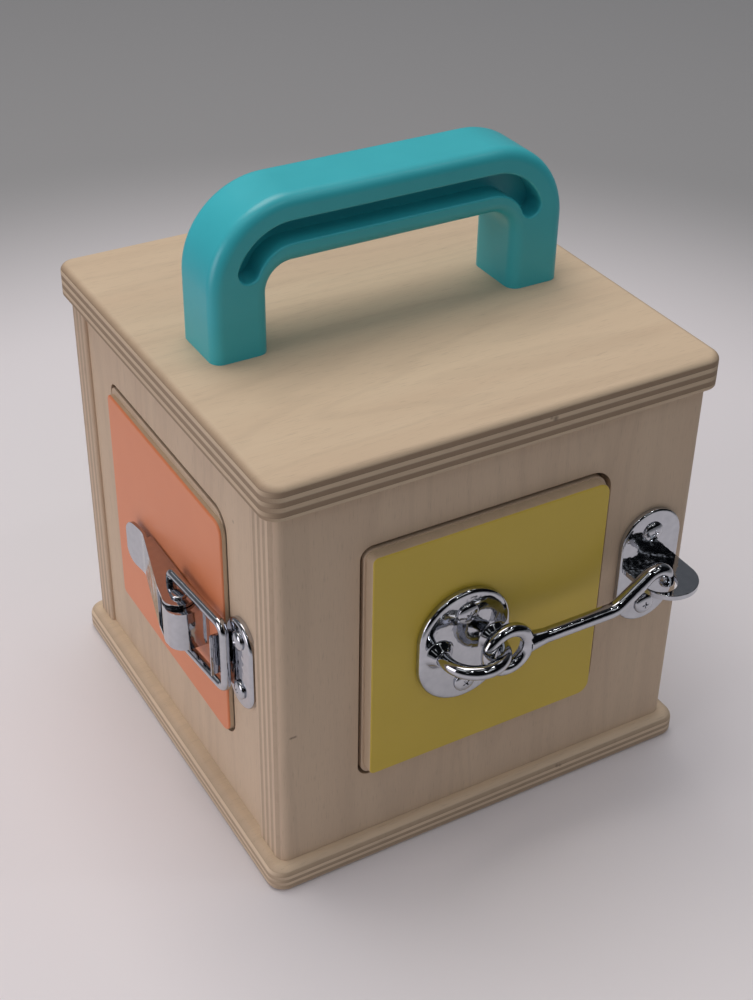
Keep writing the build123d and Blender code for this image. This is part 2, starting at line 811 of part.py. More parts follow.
with BuildPart() as hook_rod:
    with Locations(on_wall(front_wall, ring_along, hook_line_up, hook_out)):
        Torus(ring_radius, ring_wire_radius)
    with BuildLine(on_wall(front_wall, 0, hook_line_up, hook_out)) as route:
        FilletPolyline(
            (rod_start, 0),
            (rod_rise_along, 0),
            (rod_tip_along, rod_peak_height),
            (rod_tip_along, tab_top_up + hook_hover - hook_line_up),
            radius=(rod_rise_radius, rod_tip_radius),
        )
    rod_mouth = Plane(origin=front_wall.from_local_coords((rod_start, hook_line_up, hook_out)), z_dir=(1, 0, 0))
    with BuildSketch(rod_mouth):
        Circle(rod_radius)
    sweep(path=route.wires()[0])
    fillet(hook_rod.faces().filter_by(GeomType.PLANE).sort_by(Axis.X)[-1].edges(), radius=tip_round)
    with BuildSketch(rod_mouth) as neck_wide:
        Circle(ring_neck_radius)
    with BuildSketch(rod_mouth.offset(ring_neck_length)) as neck_narrow:
        Circle(rod_radius)
    loft([neck_wide.sketch.face(), neck_narrow.sketch.face()])

with BuildPart() as hook_keeper:
    with BuildSketch(on_wall(front_wall, eye_along, eye_up)):
        SlotOverall(eye_plate_height, eye_plate_width, rotation=90)
    extrude(amount=eye_plate_thickness)
    fillet(hook_keeper.faces().sort_by(Axis.Y)[0].edges(), radius=eye_plate_round)
    with BuildSketch(from_above(front_wall, eye_along, tab_top_up, eye_plate_thickness / 2)) as tab:
        straight = tab_reach - tab_radius - eye_plate_thickness / 2
        with Locations((0, straight / 2)):
            Rectangle(2 * tab_radius, straight)
        with Locations((0, straight)):
            Circle(tab_radius)
        with Locations((eye_hole_along - eye_along, eye_hole_out - eye_plate_thickness / 2)):
            Circle(eye_hole_radius, mode=Mode.SUBTRACT)
    extrude(amount=tab_thickness)
    cut_screw_holes(eye_screw_places, screw_radius, eye_plate_thickness)

hook_keeper_screws = screws_at(
    eye_screw_places, screw_head_radius, screw_head_height, screw_radius, screw_bite
)

# Draw latch: a base with a barrel, a folding lever, a wire bail and a hooked keeper
clasp_plate_front = side_face_proud + clasp_sheet
cheek_inner = barrel_half + cheek_gap
cheek_outer = cheek_inner + clasp_sheet
bail_arm = cheek_outer + clasp_pin_head + bail_head_gap + bail_radius
clasp_screw_places = [
    on_wall(left_wall_face, clasp_screw_along, clasp_up + side * clasp_screw_spread, clasp_plate_front)
    for side in (-1, 1)
]
left_door = door_board(left_doorway, clasp_screw_places)
left_door_face = door_face(left_doorway, clasp_screw_places)
left_door_pins = door_pins(left_doorway)
clasp_base_screws = screws_at(
    clasp_screw_places, clasp_screw_head_radius, clasp_screw_head_height, screw_radius, screw_bite
)
clasp_section = from_above(left_wall_face, 0, clasp_up)
clasp_pivot = (clasp_pivot_along, clasp_pivot_out)

with BuildPart() as clasp_base:
    clasp_base_middle = (clasp_base_left + clasp_base_right) / 2
    with BuildSketch(on_wall(left_wall_face, clasp_base_middle, clasp_up, side_face_proud)):
        RectangleRounded(clasp_base_right - clasp_base_left, 2 * clasp_base_half, clasp_base_corner)
    extrude(amount=clasp_sheet)
    with BuildSketch(clasp_section) as barrel:
        with Locations((clasp_pivot_along - barrel_behind, side_face_proud)):
            Rectangle(
                barrel_behind + barrel_ahead, barrel_out - side_face_proud, align=(Align.MIN, Align.MIN)
            )
        fillet(barrel.vertices().group_by(Axis.Y)[-1], radius=barrel_corner)
        with Locations(clasp_pivot):
            Circle(clasp_pin_radius, mode=Mode.SUBTRACT)
    extrude(amount=barrel_half, both=True)
    cut_screw_holes(clasp_screw_places, screw_radius, clasp_sheet)

with BuildPart() as clasp_pin:
    with BuildSketch(clasp_section):
        with Locations(clasp_pivot):
            Circle(clasp_pin_radius)
    extrude(amount=cheek_outer + clasp_pin_head / 2, both=True)
    for height in (cheek_outer + clasp_pin_head, -cheek_outer):
        with BuildSketch(from_above(left_wall_face, 0, clasp_up + height)) as head:
            with Locations(clasp_pivot):
                Circle(clasp_pin_head_radius)
        extrude(head.sketch, amount=clasp_pin_head)
    for end in (0, -1):
        fillet(clasp_pin.faces().sort_by(Axis.Z)[end].edges(), radius=clasp_pin_head / 2)

web_slope = (lever_web_out - lever_dip_out) / (lever_web_along - lever_dip_along)
cheek_end_top = lever_web_out - (lever_web_along - cheek_end_along) * web_slope
cheek_low = clasp_pivot_out - ear_radius

with BuildPart() as clasp_lever:
    with BuildSketch(clasp_section):
        with BuildLine():
            FilletPolyline(
                (lever_web_along, lever_web_out),
                (lever_dip_along, lever_dip_out),
                (lever_tip_along, lever_tip_out),
                radius=lever_dip_radius,
            )
        trace(line_width=clasp_sheet)
    extrude(amount=cheek_outer, both=True)
    with BuildSketch(on_wall(left_wall_face, 0, clasp_up)) as plan:
        with Locations(((lever_tip_along + lever_web_along) / 2, 0)):
            Rectangle(lever_web_along - lever_tip_along, 2 * cheek_outer)
        fillet(plan.vertices().group_by(Axis.X)[0], radius=lever_tip_corner)
    extrude(amount=clasp_pivot_out + ear_radius, mode=Mode.INTERSECT)
    for height in (cheek_outer, -cheek_inner):
        with BuildSketch(from_above(left_wall_face, 0, clasp_up + height)) as cheek:
            with BuildLine():
                Polyline(
                    (clasp_pivot_along, clasp_pivot_out + ear_radius),
                    (lever_web_along, lever_web_out + clasp_sheet / 2),
                    (lever_web_along, lever_web_out),
                    (cheek_end_along, cheek_end_top),
                    (cheek_end_along, cheek_low),
                    (clasp_pivot_along, cheek_low),
                    close=True,
                )
            make_face()
            with Locations(clasp_pivot):
                Circle(ear_radius)
                Circle(clasp_pin_radius + pin_clearance, mode=Mode.SUBTRACT)
            with Locations((bail_pivot_along, bail_pivot_out)):
                Circle(bail_radius + bail_clearance, mode=Mode.SUBTRACT)
        extrude(cheek.sketch, amount=clasp_sheet)

bail_run = bail_bar_along - bail_pivot_along
bail_drop = bail_bar_out - bail_pivot_out
bail_direction = (left_wall_face.x_dir * bail_run + left_wall_face.z_dir * bail_drop).normalized()
bail_plane = Plane(
    origin=left_wall_face.from_local_coords((bail_pivot_along, clasp_up, bail_pivot_out)),
    x_dir=bail_direction,
    z_dir=bail_direction.cross(Vector(0, 0, 1)),
)
bail_reach = math.hypot(bail_run, bail_drop)
bail_stub_end = cheek_inner - bail_stub_inside

with BuildPart() as clasp_bail:
    with BuildLine(bail_plane) as loop:
        FilletPolyline(
            (0, -bail_stub_end),
            (0, -bail_arm),
            (bail_reach, -bail_arm),
            (bail_reach, bail_arm),
            (0, bail_arm),
            (0, bail_stub_end),
            radius=(bail_pivot_bend, bail_bar_bend, bail_bar_bend, bail_pivot_bend),
        )
    bail_start = from_above(left_wall_face, bail_pivot_along, clasp_up - bail_stub_end, bail_pivot_out)
    with BuildSketch(bail_start):
        Circle(bail_radius)
    sweep(path=loop.wires()[0])

with BuildPart() as clasp_keeper:
    with BuildSketch(on_wall(left_wall_face, catch_along, catch_up)):
        SlotOverall(catch_height, catch_width, rotation=90)
    extrude(amount=catch_thickness)
    fillet(clasp_keeper.faces().sort_by(Axis.X)[0].edges(), radius=catch_round)
    with BuildSketch(clasp_section):
        with BuildLine():
            FilletPolyline(
                (lip_along, catch_thickness / 2), (lip_along, lip_out), (lip_tip_along, lip_out), radius=lip_bend
            )
        trace(line_width=lip_sheet)
    extrude(amount=lip_half, both=True)
    cut_screw_holes(catch_screw_places, screw_radius, catch_thickness)

clasp_keeper_screws = screws_at(
    catch_screw_places, catch_screw_head_radius, screw_head_height, screw_radius, screw_bite
)

# Barrel bolt: a plate with two guides, a rod with a knob, and a socket on the wall
bolt_plate_front = side_face_proud + bolt_plate_thickness
bolt_out = bolt_plate_front + bolt_lift
bolt_screw_places = [
    on_wall(right_wall_face, along, bolt_up + side * bolt_screw_rise, bolt_plate_front)
    for along in (bolt_plate_left + bolt_screw_inset, bolt_plate_right - bolt_screw_inset)
    for side in (-1, 1)
]
right_door = door_board(right_doorway, bolt_screw_places)
right_door_face = door_face(right_doorway, bolt_screw_places)
right_door_pins = door_pins(right_doorway)
bolt_plate_screws = screws_at(
    bolt_screw_places, bolt_screw_head_radius, screw_head_height, screw_radius, screw_bite
)


def along_bolt(along):
    """A plane square to the bolt: x is up, y is out of the wall."""
    origin = right_wall_face.from_local_coords((along, bolt_up, 0))
    return Plane(origin=origin, x_dir=(0, 0, 1), z_dir=right_wall_face.x_dir)


def guide_arch(along, length, plate_front):
    """A saddle over the bolt, from the plate it stands on round the bolt's bore."""
    outer = bolt_radius + bolt_clearance + guide_wall
    with BuildSketch(along_bolt(along)) as arch:
        with Locations((0, bolt_out)):
            Circle(outer)
        with Locations((0, (bolt_out + plate_front) / 2)):
            Rectangle(2 * outer, bolt_out - plate_front)
        with Locations((0, bolt_out)):
            Circle(bolt_radius + bolt_clearance, mode=Mode.SUBTRACT)
    extrude(arch.sketch, amount=length)


with BuildPart() as bolt_plate:
    bolt_plate_middle = (bolt_plate_left + bolt_plate_right) / 2
    with BuildSketch(on_wall(right_wall_face, bolt_plate_middle, bolt_up, side_face_proud)):
        RectangleRounded(bolt_plate_right - bolt_plate_left, 2 * bolt_plate_half, bolt_plate_corner)
    extrude(amount=bolt_plate_thickness)
    for along in (guide_left_along, guide_right_along):
        guide_arch(along, guide_length, bolt_plate_front)
    cut_screw_holes(bolt_screw_places, screw_radius, bolt_plate_thickness)

with BuildPart() as bolt_rod:
    with BuildSketch(along_bolt(bolt_left)):
        with Locations((0, bolt_out)):
            Circle(bolt_radius)
    extrude(amount=bolt_right - bolt_left)
    for end in (0, -1):
        fillet(bolt_rod.faces().sort_by(Axis.Y)[end].edges(), radius=bolt_end_round)
    peg(
        on_wall(right_wall_face, bolt_knob_along, bolt_up, bolt_out + bolt_knob_reach),
        bolt_knob_stem_radius, bolt_knob_reach,
    )

with BuildPart() as bolt_knob:
    knob_front = bolt_out + bolt_knob_reach + bolt_knob_height
    peg(on_wall(right_wall_face, bolt_knob_along, bolt_up, knob_front), bolt_knob_radius, bolt_knob_height)
    for end in (0, -1):
        fillet(bolt_knob.faces().sort_by(Axis.X)[end].edges(), radius=bolt_end_round)

with BuildPart() as bolt_keeper:
    with BuildSketch(on_wall(right_wall_face, socket_along, bolt_up)):
        RectangleRounded(socket_plate_width, 2 * bolt_plate_half, bolt_plate_corner)
    extrude(amount=bolt_plate_thickness)
    guide_arch(socket_along - socket_length / 2, socket_length, bolt_plate_thickness)
    cut_screw_holes(socket_screw_places, screw_radius, bolt_plate_thickness)

bolt_keeper_screws = screws_at(
    socket_screw_places, bolt_screw_head_radius, screw_head_height, screw_radius, screw_bite
)

# Turn button on the back wall, and the knob that pulls the back door
knob_screw_start = door_proud - back_thickness
knob_screw_place = Plane(
    origin=back_wall.from_local_coords((knob_along, knob_up, knob_screw_start)),
    x_dir=back_wall.x_dir,
    z_dir=-back_wall.z_dir,
)
knob_screw_length = side_face_proud - knob_screw_start + knob_screw_bite
back_door = door_board(back_doorway, [knob_screw_place], screw_radius, knob_screw_length)
back_door_face = door_face(back_doorway, [knob_screw_place], screw_radius, knob_screw_length)
back_door_pins = door_pins(back_doorway)

with BuildPart() as turn_button_spacer:
    peg(on_wall(back_wall, button_along, button_up, button_back), button_spacer_radius, button_back)
    bore(button_screw_place, button_screw_radius, button_back + button_thickness)

with BuildPart() as turn_button:
    with BuildSketch(on_wall(back_wall, button_along, button_up, button_back)):
        SlotOverall(button_length, button_width, rotation=90)
    extrude(amount=button_thickness)
    fillet(turn_button.faces().sort_by(Axis.Y)[-1].edges(), radius=button_round)
    bore(button_screw_place, button_screw_radius + button_clearance, button_thickness)

turn_button_screw = screws_at(
    [button_screw_place], button_screw_head_radius, button_screw_head_height, button_screw_radius,
    button_back + button_thickness + button_screw_bite,
)

with BuildPart() as back_door_knob:
    peg(on_wall(back_wall, knob_along, knob_up, side_face_proud + knob_neck), knob_neck_radius, knob_neck)
    with BuildSketch(on_wall(back_wall, knob_along, knob_up, side_face_proud + knob_neck)) as head:
        Circle(knob_radius)
    extrude(head.sketch, amount=knob_height - knob_neck)
    crown = back_door_knob.faces().sort_by(Axis.Y)[-1].edges()
    fillet(crown, radius=knob_crown)
    cut_screw_holes([knob_screw_place], screw_radius, knob_screw_length)

knob_screw = screws_at(
    [knob_screw_place], knob_screw_head_radius, knob_screw_head_height, screw_radius, knob_screw_length
)

pieces = {
    "base_board": base_board,
    "front_panel": front_panel,
    "back_panel": back_panel,
    "left_wall": left_wall,
    "right_wall": right_wall,
    "lid_board": lid_board,
    "lid_dowels": lid_dowels,
    "corner_dowels": corner_dowels,
    "base_screws": base_screws,
    "front_door_stop": front_stop,
    "left_door_stop": left_stop,
    "right_door_stop": right_stop,
    "back_door_stop": back_stop,
    "carry_handle": carry_handle,
    "handle_washers": handle_washers,
    "handle_screws": handle_screws,
    "front_door_board": front_door,
    "front_door_face": front_door_face,
    "front_door_pins": front_door_pins,
    "hook_plate": hook_plate,
    "hook_plate_screws": hook_plate_screws,
    "hook_staple": hook_staple,
    "hook_rod": hook_rod,
    "hook_keeper": hook_keeper,
    "hook_keeper_screws": hook_keeper_screws,
    "left_door_board": left_door,
    "left_door_face": left_door_face,
    "left_door_pins": left_door_pins,
    "clasp_base": clasp_base,
    "clasp_base_screws": clasp_base_screws,
    "clasp_pin": clasp_pin,
    "clasp_lever": clasp_lever,
    "clasp_bail": clasp_bail,
    "clasp_keeper": clasp_keeper,
    "clasp_keeper_screws": clasp_keeper_screws,
    "right_door_board": right_door,
    "right_door_face": right_door_face,
    "right_door_pins": right_door_pins,
    "bolt_plate": bolt_plate,
    "bolt_plate_screws": bolt_plate_screws,
    "bolt_rod": bolt_rod,
    "bolt_knob": bolt_knob,
    "bolt_keeper": bolt_keeper,
    "bolt_keeper_screws": bolt_keeper_screws,
    "back_door_board": back_door,
    "back_door_face": back_door_face,
    "back_door_pins": back_door_pins,
    "back_door_knob": back_door_knob,
    "knob_screw": knob_screw,
    "turn_button_spacer": turn_button_spacer,
    "turn_button": turn_button,
    "turn_button_screw": turn_button_screw,
}
os.makedirs("parts", exist_ok=True)
for name, piece in pieces.items():
    save(piece.part, name)
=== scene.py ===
# %% [markdown]
# # A wooden latch box
# The box is a plywood cube, 160 mm wide, with a small painted door in each side. Each door is held by
# another kind of latch, and a moulded handle on the lid carries the box. The solids come from the CAD
# model. This lesson gives them wood, paint, plastic and chrome, and makes the small metal parts with the
# soft edges and forged shapes that light needs to show.

import math

import bmesh
import bpy
import numpy as np
from mathutils import Matrix, Vector


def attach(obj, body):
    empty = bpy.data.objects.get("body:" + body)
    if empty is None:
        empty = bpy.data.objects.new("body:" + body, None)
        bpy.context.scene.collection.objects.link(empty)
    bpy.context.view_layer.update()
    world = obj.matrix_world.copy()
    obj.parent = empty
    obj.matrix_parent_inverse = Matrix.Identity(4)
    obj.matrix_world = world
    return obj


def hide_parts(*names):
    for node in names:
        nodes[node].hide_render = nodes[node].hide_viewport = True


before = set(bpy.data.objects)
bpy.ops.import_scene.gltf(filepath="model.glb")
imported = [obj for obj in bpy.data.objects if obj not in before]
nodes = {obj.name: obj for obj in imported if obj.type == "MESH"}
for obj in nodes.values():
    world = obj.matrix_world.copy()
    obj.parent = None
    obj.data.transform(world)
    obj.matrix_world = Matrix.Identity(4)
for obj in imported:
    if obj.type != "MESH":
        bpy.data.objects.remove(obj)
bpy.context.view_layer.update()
MM = 0.001

# %% [markdown]
# ## The camera
# The photograph looks down on the front left corner of the box. Its place was solved from the box's own
# edges, so the camera is set by three directions and a position. The sensor's long side is the picture's
# height.

# %% Camera
camera_data = bpy.data.cameras.new("photo_camera")
camera_data.sensor_width = 36
camera_data.lens = 58.734
camera = bpy.data.objects.new("photo_camera", camera_data)
bpy.context.scene.collection.objects.link(camera)
camera_right = Vector((0.8681, -0.4961, 0.0149))
camera_up = Vector((0.2705, 0.4981, 0.8238))
camera_back = -Vector((0.4161, 0.7112, -0.5667))
turn = Matrix((camera_right, camera_up, camera_back)).transposed().to_quaternion()
camera.rotation_mode = "QUATERNION"
camera.rotation_quaternion = turn
camera.location = Vector((-246.6, -423.9, 419.6)) * MM
camera_data.clip_start, camera_data.clip_end = 0.01, 20
bpy.context.scene.camera = camera
bpy.context.scene.view_settings.view_transform = "Standard"
print("camera at", [round(v, 3) for v in camera.location])

# %% [markdown]
# ## Colours and nodes
# Colours are written as sRGB hex values, as a paint card gives them, and one function turns them to the
# linear values that Blender mixes. Another small function adds a node together with its settings and
# what goes into its sockets, so that each material reads as a list of steps.


# %% Helpers for materials
def colour(code):
    """An sRGB hex value such as 'C4AD8C' as a linear colour."""
    parts = [int(code[i : i + 2], 16) / 255 for i in (0, 2, 4)]
    linear = [p / 12.92 if p <= 0.04045 else ((p + 0.055) / 1.055) ** 2.4 for p in parts]
    return (*linear, 1.0)


def add_node(tree, kind, sockets=None, **settings):
    """Add a node. A socket takes a number, a colour, a node or one of its outputs."""
    made = tree.nodes.new(kind)
    for name, value in settings.items():
        setattr(made, name, value)
    for key, value in (sockets or {}).items():
        if isinstance(value, bpy.types.Node):
            value = value.outputs[0]
        if isinstance(value, bpy.types.NodeSocket):
            tree.links.new(value, made.inputs[key])
        else:
            made.inputs[key].default_value = value
    return made


def new_material(name):
    """An empty node material and its tree."""
    material = bpy.data.materials.new(name)
    material.use_nodes = True
    material.node_tree.nodes.clear()
    return material, material.node_tree


def finish_material(tree, sockets):
    """Close a material with one principled shader."""
    shader = add_node(tree, "ShaderNodeBsdfPrincipled", sockets)
    add_node(tree, "ShaderNodeOutputMaterial", {"Surface": shader})


def place_in_mm(tree):
    """A point's place in mm, and the direction that its face looks in."""
    spots = add_node(tree, "ShaderNodeTexCoord")
    place = add_node(
        tree, "ShaderNodeVectorMath", {0: spots.outputs["Object"], 3: 1 / MM}, operation="SCALE",
    )
    return place, spots.outputs["Normal"]


# %% [markdown]
# ## Floor and light
# The photograph was taken on a pale table under ceiling lamps, in a room that is darker than the table.
# The floor is a plain pale disc that greys with distance. The main lamp hangs above and behind, so the
# lid is brightest and the front is in soft shade, and a weaker lamp lights the left side. Polished metal
# shows the whole room, so its rays meet a room that is dark where the viewer stands and grey at the
# back, with bright panes overhead: that gives the chrome its black bands and its small white glints.

# %% Floor
floor_material, tree = new_material("pale_table_laminate")
place = add_node(tree, "ShaderNodeTexCoord").outputs["Object"]
distance = add_node(tree, "ShaderNodeVectorMath", {0: place}, operation="LENGTH").outputs["Value"]
faded = add_node(
    tree, "ShaderNodeMapRange", {"Value": distance, "From Min": 0.27, "From Max": 0.54},
    interpolation_type="SMOOTHSTEP",
)
tone = add_node(
    tree, "ShaderNodeMix",
    {0: faded, 6: colour("E8E4E7"), 7: colour("9E9E9F")}, data_type="RGBA",
)
finish_material(tree, {"Base Color": tone.outputs[2], "Roughness": 0.5})
floor_mesh = bpy.data.meshes.new("pale_floor")
floor_radius = 4.0
# The floor lies 0.2 mm low, so that it and the base board's underside never share a plane.
floor_drop = 0.2 * MM
sketch = bmesh.new()
bmesh.ops.create_circle(sketch, cap_ends=True, segments=96, radius=floor_radius)
bmesh.ops.translate(sketch, verts=sketch.verts, vec=(0, 0, -floor_drop))
sketch.to_mesh(floor_mesh)
sketch.free()
floor = bpy.data.objects.new("pale_floor", floor_mesh)
floor_mesh.materials.append(floor_material)
bpy.context.scene.collection.objects.link(floor)
print("floor radius in m:", floor_radius)

# %% Lamps and sky
world = bpy.data.worlds.new("soft_studio")
bpy.context.scene.world = world
world.use_nodes = True
tree = world.node_tree
tree.nodes.clear()
sky_place = add_node(tree, "ShaderNodeTexCoord").outputs["Generated"]
sky_axes = add_node(tree, "ShaderNodeSeparateXYZ", {0: sky_place})
sky_share = add_node(
    tree, "ShaderNodeMapRange", {"Value": sky_axes.outputs[2], "From Min": -0.05, "From Max": 0.75},
)
sky = add_node(
    tree, "ShaderNodeMix", {0: sky_share, 6: colour("707478"), 7: colour("E6E8EE")}, data_type="RGBA",
)
# The viewer stands at the front, so less light comes from there.
shaded = add_node(
    tree, "ShaderNodeMapRange",
    {"Value": sky_axes.outputs[1], "From Min": -0.9, "From Max": 0.3, "To Min": 0.55},
)
shaded_sky = add_node(tree, "ShaderNodeVectorMath", {0: sky.outputs[2], 3: shaded}, operation="SCALE")
room_share = add_node(
    tree, "ShaderNodeMapRange", {"Value": sky_axes.outputs[1], "From Min": -0.3, "From Max": 0.7},
    interpolation_type="SMOOTHSTEP",
)
room = add_node(
    tree, "ShaderNodeMix", {0: room_share, 6: colour("101114"), 7: colour("7E8084")}, data_type="RGBA",
)
pane_field = add_node(tree, "ShaderNodeTexNoise", {"Vector": sky_place, "Scale": 3.4, "Detail": 0.0})
pane = add_node(
    tree, "ShaderNodeMapRange", {"Value": pane_field, "From Min": 0.60, "From Max": 0.66},
)
overhead = add_node(
    tree, "ShaderNodeMapRange", {"Value": sky_axes.outputs[2], "From Min": 0.35, "From Max": 0.5},
)
pane = add_node(tree, "ShaderNodeMath", {0: pane, 1: overhead}, operation="MULTIPLY")
panes = add_node(
    tree, "ShaderNodeMix", {0: pane, 6: room.outputs[2], 7: colour("FFFFFF")}, data_type="RGBA",
)
rays = add_node(tree, "ShaderNodeLightPath")
mirrored = add_node(
    tree, "ShaderNodeMix",
    {0: rays.outputs["Is Glossy Ray"], 6: shaded_sky, 7: panes.outputs[2]}, data_type="RGBA",
)
seen = add_node(
    tree, "ShaderNodeMix",
    {0: rays.outputs["Is Camera Ray"], 6: mirrored.outputs[2], 7: colour("8C8D90")}, data_type="RGBA",
)
lit = add_node(tree, "ShaderNodeBackground", {"Color": seen.outputs[2], "Strength": 0.62})
add_node(tree, "ShaderNodeOutputWorld", {"Surface": lit})


def soft_lamp(name, spot, target, width, watts, tint):
    """A square soft lamp at a spot, turned to a target, in metres."""
    data = bpy.data.lights.new(name, "AREA")
    data.shape, data.size = "SQUARE", width
    data.energy, data.color = watts, colour(tint)[:3]
    lamp = bpy.data.objects.new(name, data)
    bpy.context.scene.collection.objects.link(lamp)
    lamp.location = spot
    lamp.rotation_euler = (Vector(target) - Vector(spot)).to_track_quat("-Z", "Y").to_euler()
    return lamp


soft_lamp("main_lamp", (-0.08, 0.3, 1.3), (0, 0, 0.1), 0.8, 7.4, "FFF6EE")
soft_lamp("side_lamp", (-1.3, -0.02, 0.36), (0, 0, 0.05), 0.7, 4.25, "F8F1F6")
# Three small lamps draw the white glints on wire and screw heads.
for number, spot in enumerate([(-0.5, -0.9, 1.5), (0.7, -0.5, 1.4), (0.2, -1.3, 1.2)]):
    soft_lamp(f"glint_lamp_{number}", spot, (0, 0, 0.1), 0.09, 0.5, "FFFFFF")
print("two soft lamps and three small ones")

# %% [markdown]
# ## Plywood
# Birch plywood is thin sheets of wood glued with their grain crossing. Sanded and bare, it has a pale
# face with long faint fibres and a soft figure, and its edges show every sheet as a band: light where a
# sheet lies lengthwise, darker where its fibres end, with a thin glue line between. So the material is
# solid: it works out from the depth in the board which sheet a point is in, and every face then shows
# what a saw would show.


# %% Which sheet a point is in
def sheet_at(tree, layer, grain, start, side, total, sheets, seed):
    """Where a point is in a plywood board, as a dict of nodes.

    layer and grain are axis numbers: the sheets lie across layer, and the outer one's fibres run along
    grain. start is the outer face's place in mm, side is +1 where depth grows with the axis and -1
    where it shrinks, and total is the board's thickness in mm.
    """
    across = 3 - layer - grain
    place, facing = place_in_mm(tree)
    axes = add_node(tree, "ShaderNodeSeparateXYZ", {0: place})
    facing = add_node(tree, "ShaderNodeSeparateXYZ", {0: facing})
    depth = add_node(
        tree, "ShaderNodeMath", {0: axes.outputs[layer], 1: float(side), 2: -side * start},
        operation="MULTIPLY_ADD",
    )
    # The outer and the inner face stay within their own sheets.
    inner = add_node(tree, "ShaderNodeClamp", {0: depth, 1: 0.03, 2: total - 0.3})
    sheet = add_node(tree, "ShaderNodeMath", {0: inner, 1: total / sheets}, operation="DIVIDE")
    number = add_node(tree, "ShaderNodeMath", {0: sheet}, operation="FLOOR")
    within = add_node(tree, "ShaderNodeMath", {0: sheet}, operation="FRACT")
    crossed = add_node(tree, "ShaderNodeMath", {0: number, 1: 2.0}, operation="MODULO")
    # Each sheet and each board is cut from another place in the tree.
    layer_shift = add_node(
        tree, "ShaderNodeMath", {0: number, 1: 37.0, 2: seed * 11.3}, operation="MULTIPLY_ADD",
    )
    deep = add_node(tree, "ShaderNodeMath", {0: depth, 1: layer_shift}, operation="ADD")
    lengthwise = add_node(
        tree, "ShaderNodeCombineXYZ", {0: axes.outputs[grain], 1: axes.outputs[across], 2: deep},
    )
    crosswise = add_node(
        tree, "ShaderNodeCombineXYZ", {0: axes.outputs[across], 1: axes.outputs[grain], 2: deep},
    )
    fibre_place = add_node(
        tree, "ShaderNodeMix", {0: crossed, 4: lengthwise, 5: crosswise}, data_type="VECTOR",
    ).outputs[1]
    # A sheet's fibres end on a face that they run into: that face is darker and duller.
    along_end = add_node(tree, "ShaderNodeMath", {0: facing.outputs[grain]}, operation="ABSOLUTE")
    across_end = add_node(tree, "ShaderNodeMath", {0: facing.outputs[across]}, operation="ABSOLUTE")
    end_share = add_node(
        tree, "ShaderNodeMix", {0: crossed, 2: along_end, 3: across_end}, data_type="FLOAT",
    )
    return {"place": place, "depth": depth, "within": within, "fibres": fibre_place, "ends": end_share}


# %% [markdown]
# The wood itself is four patterns in one direction: a slow figure, the tree's yearly rings, fine fibre
# streaks and short pores. Each is a noise stretched along the fibres, by sizes measured in mm.


# %% The bare wood
def stretch(long, wide):
    """The scale of a pattern whose cells are long mm along the fibres and wide mm across them."""
    return (1 / long, 1 / wide, 1 / wide)


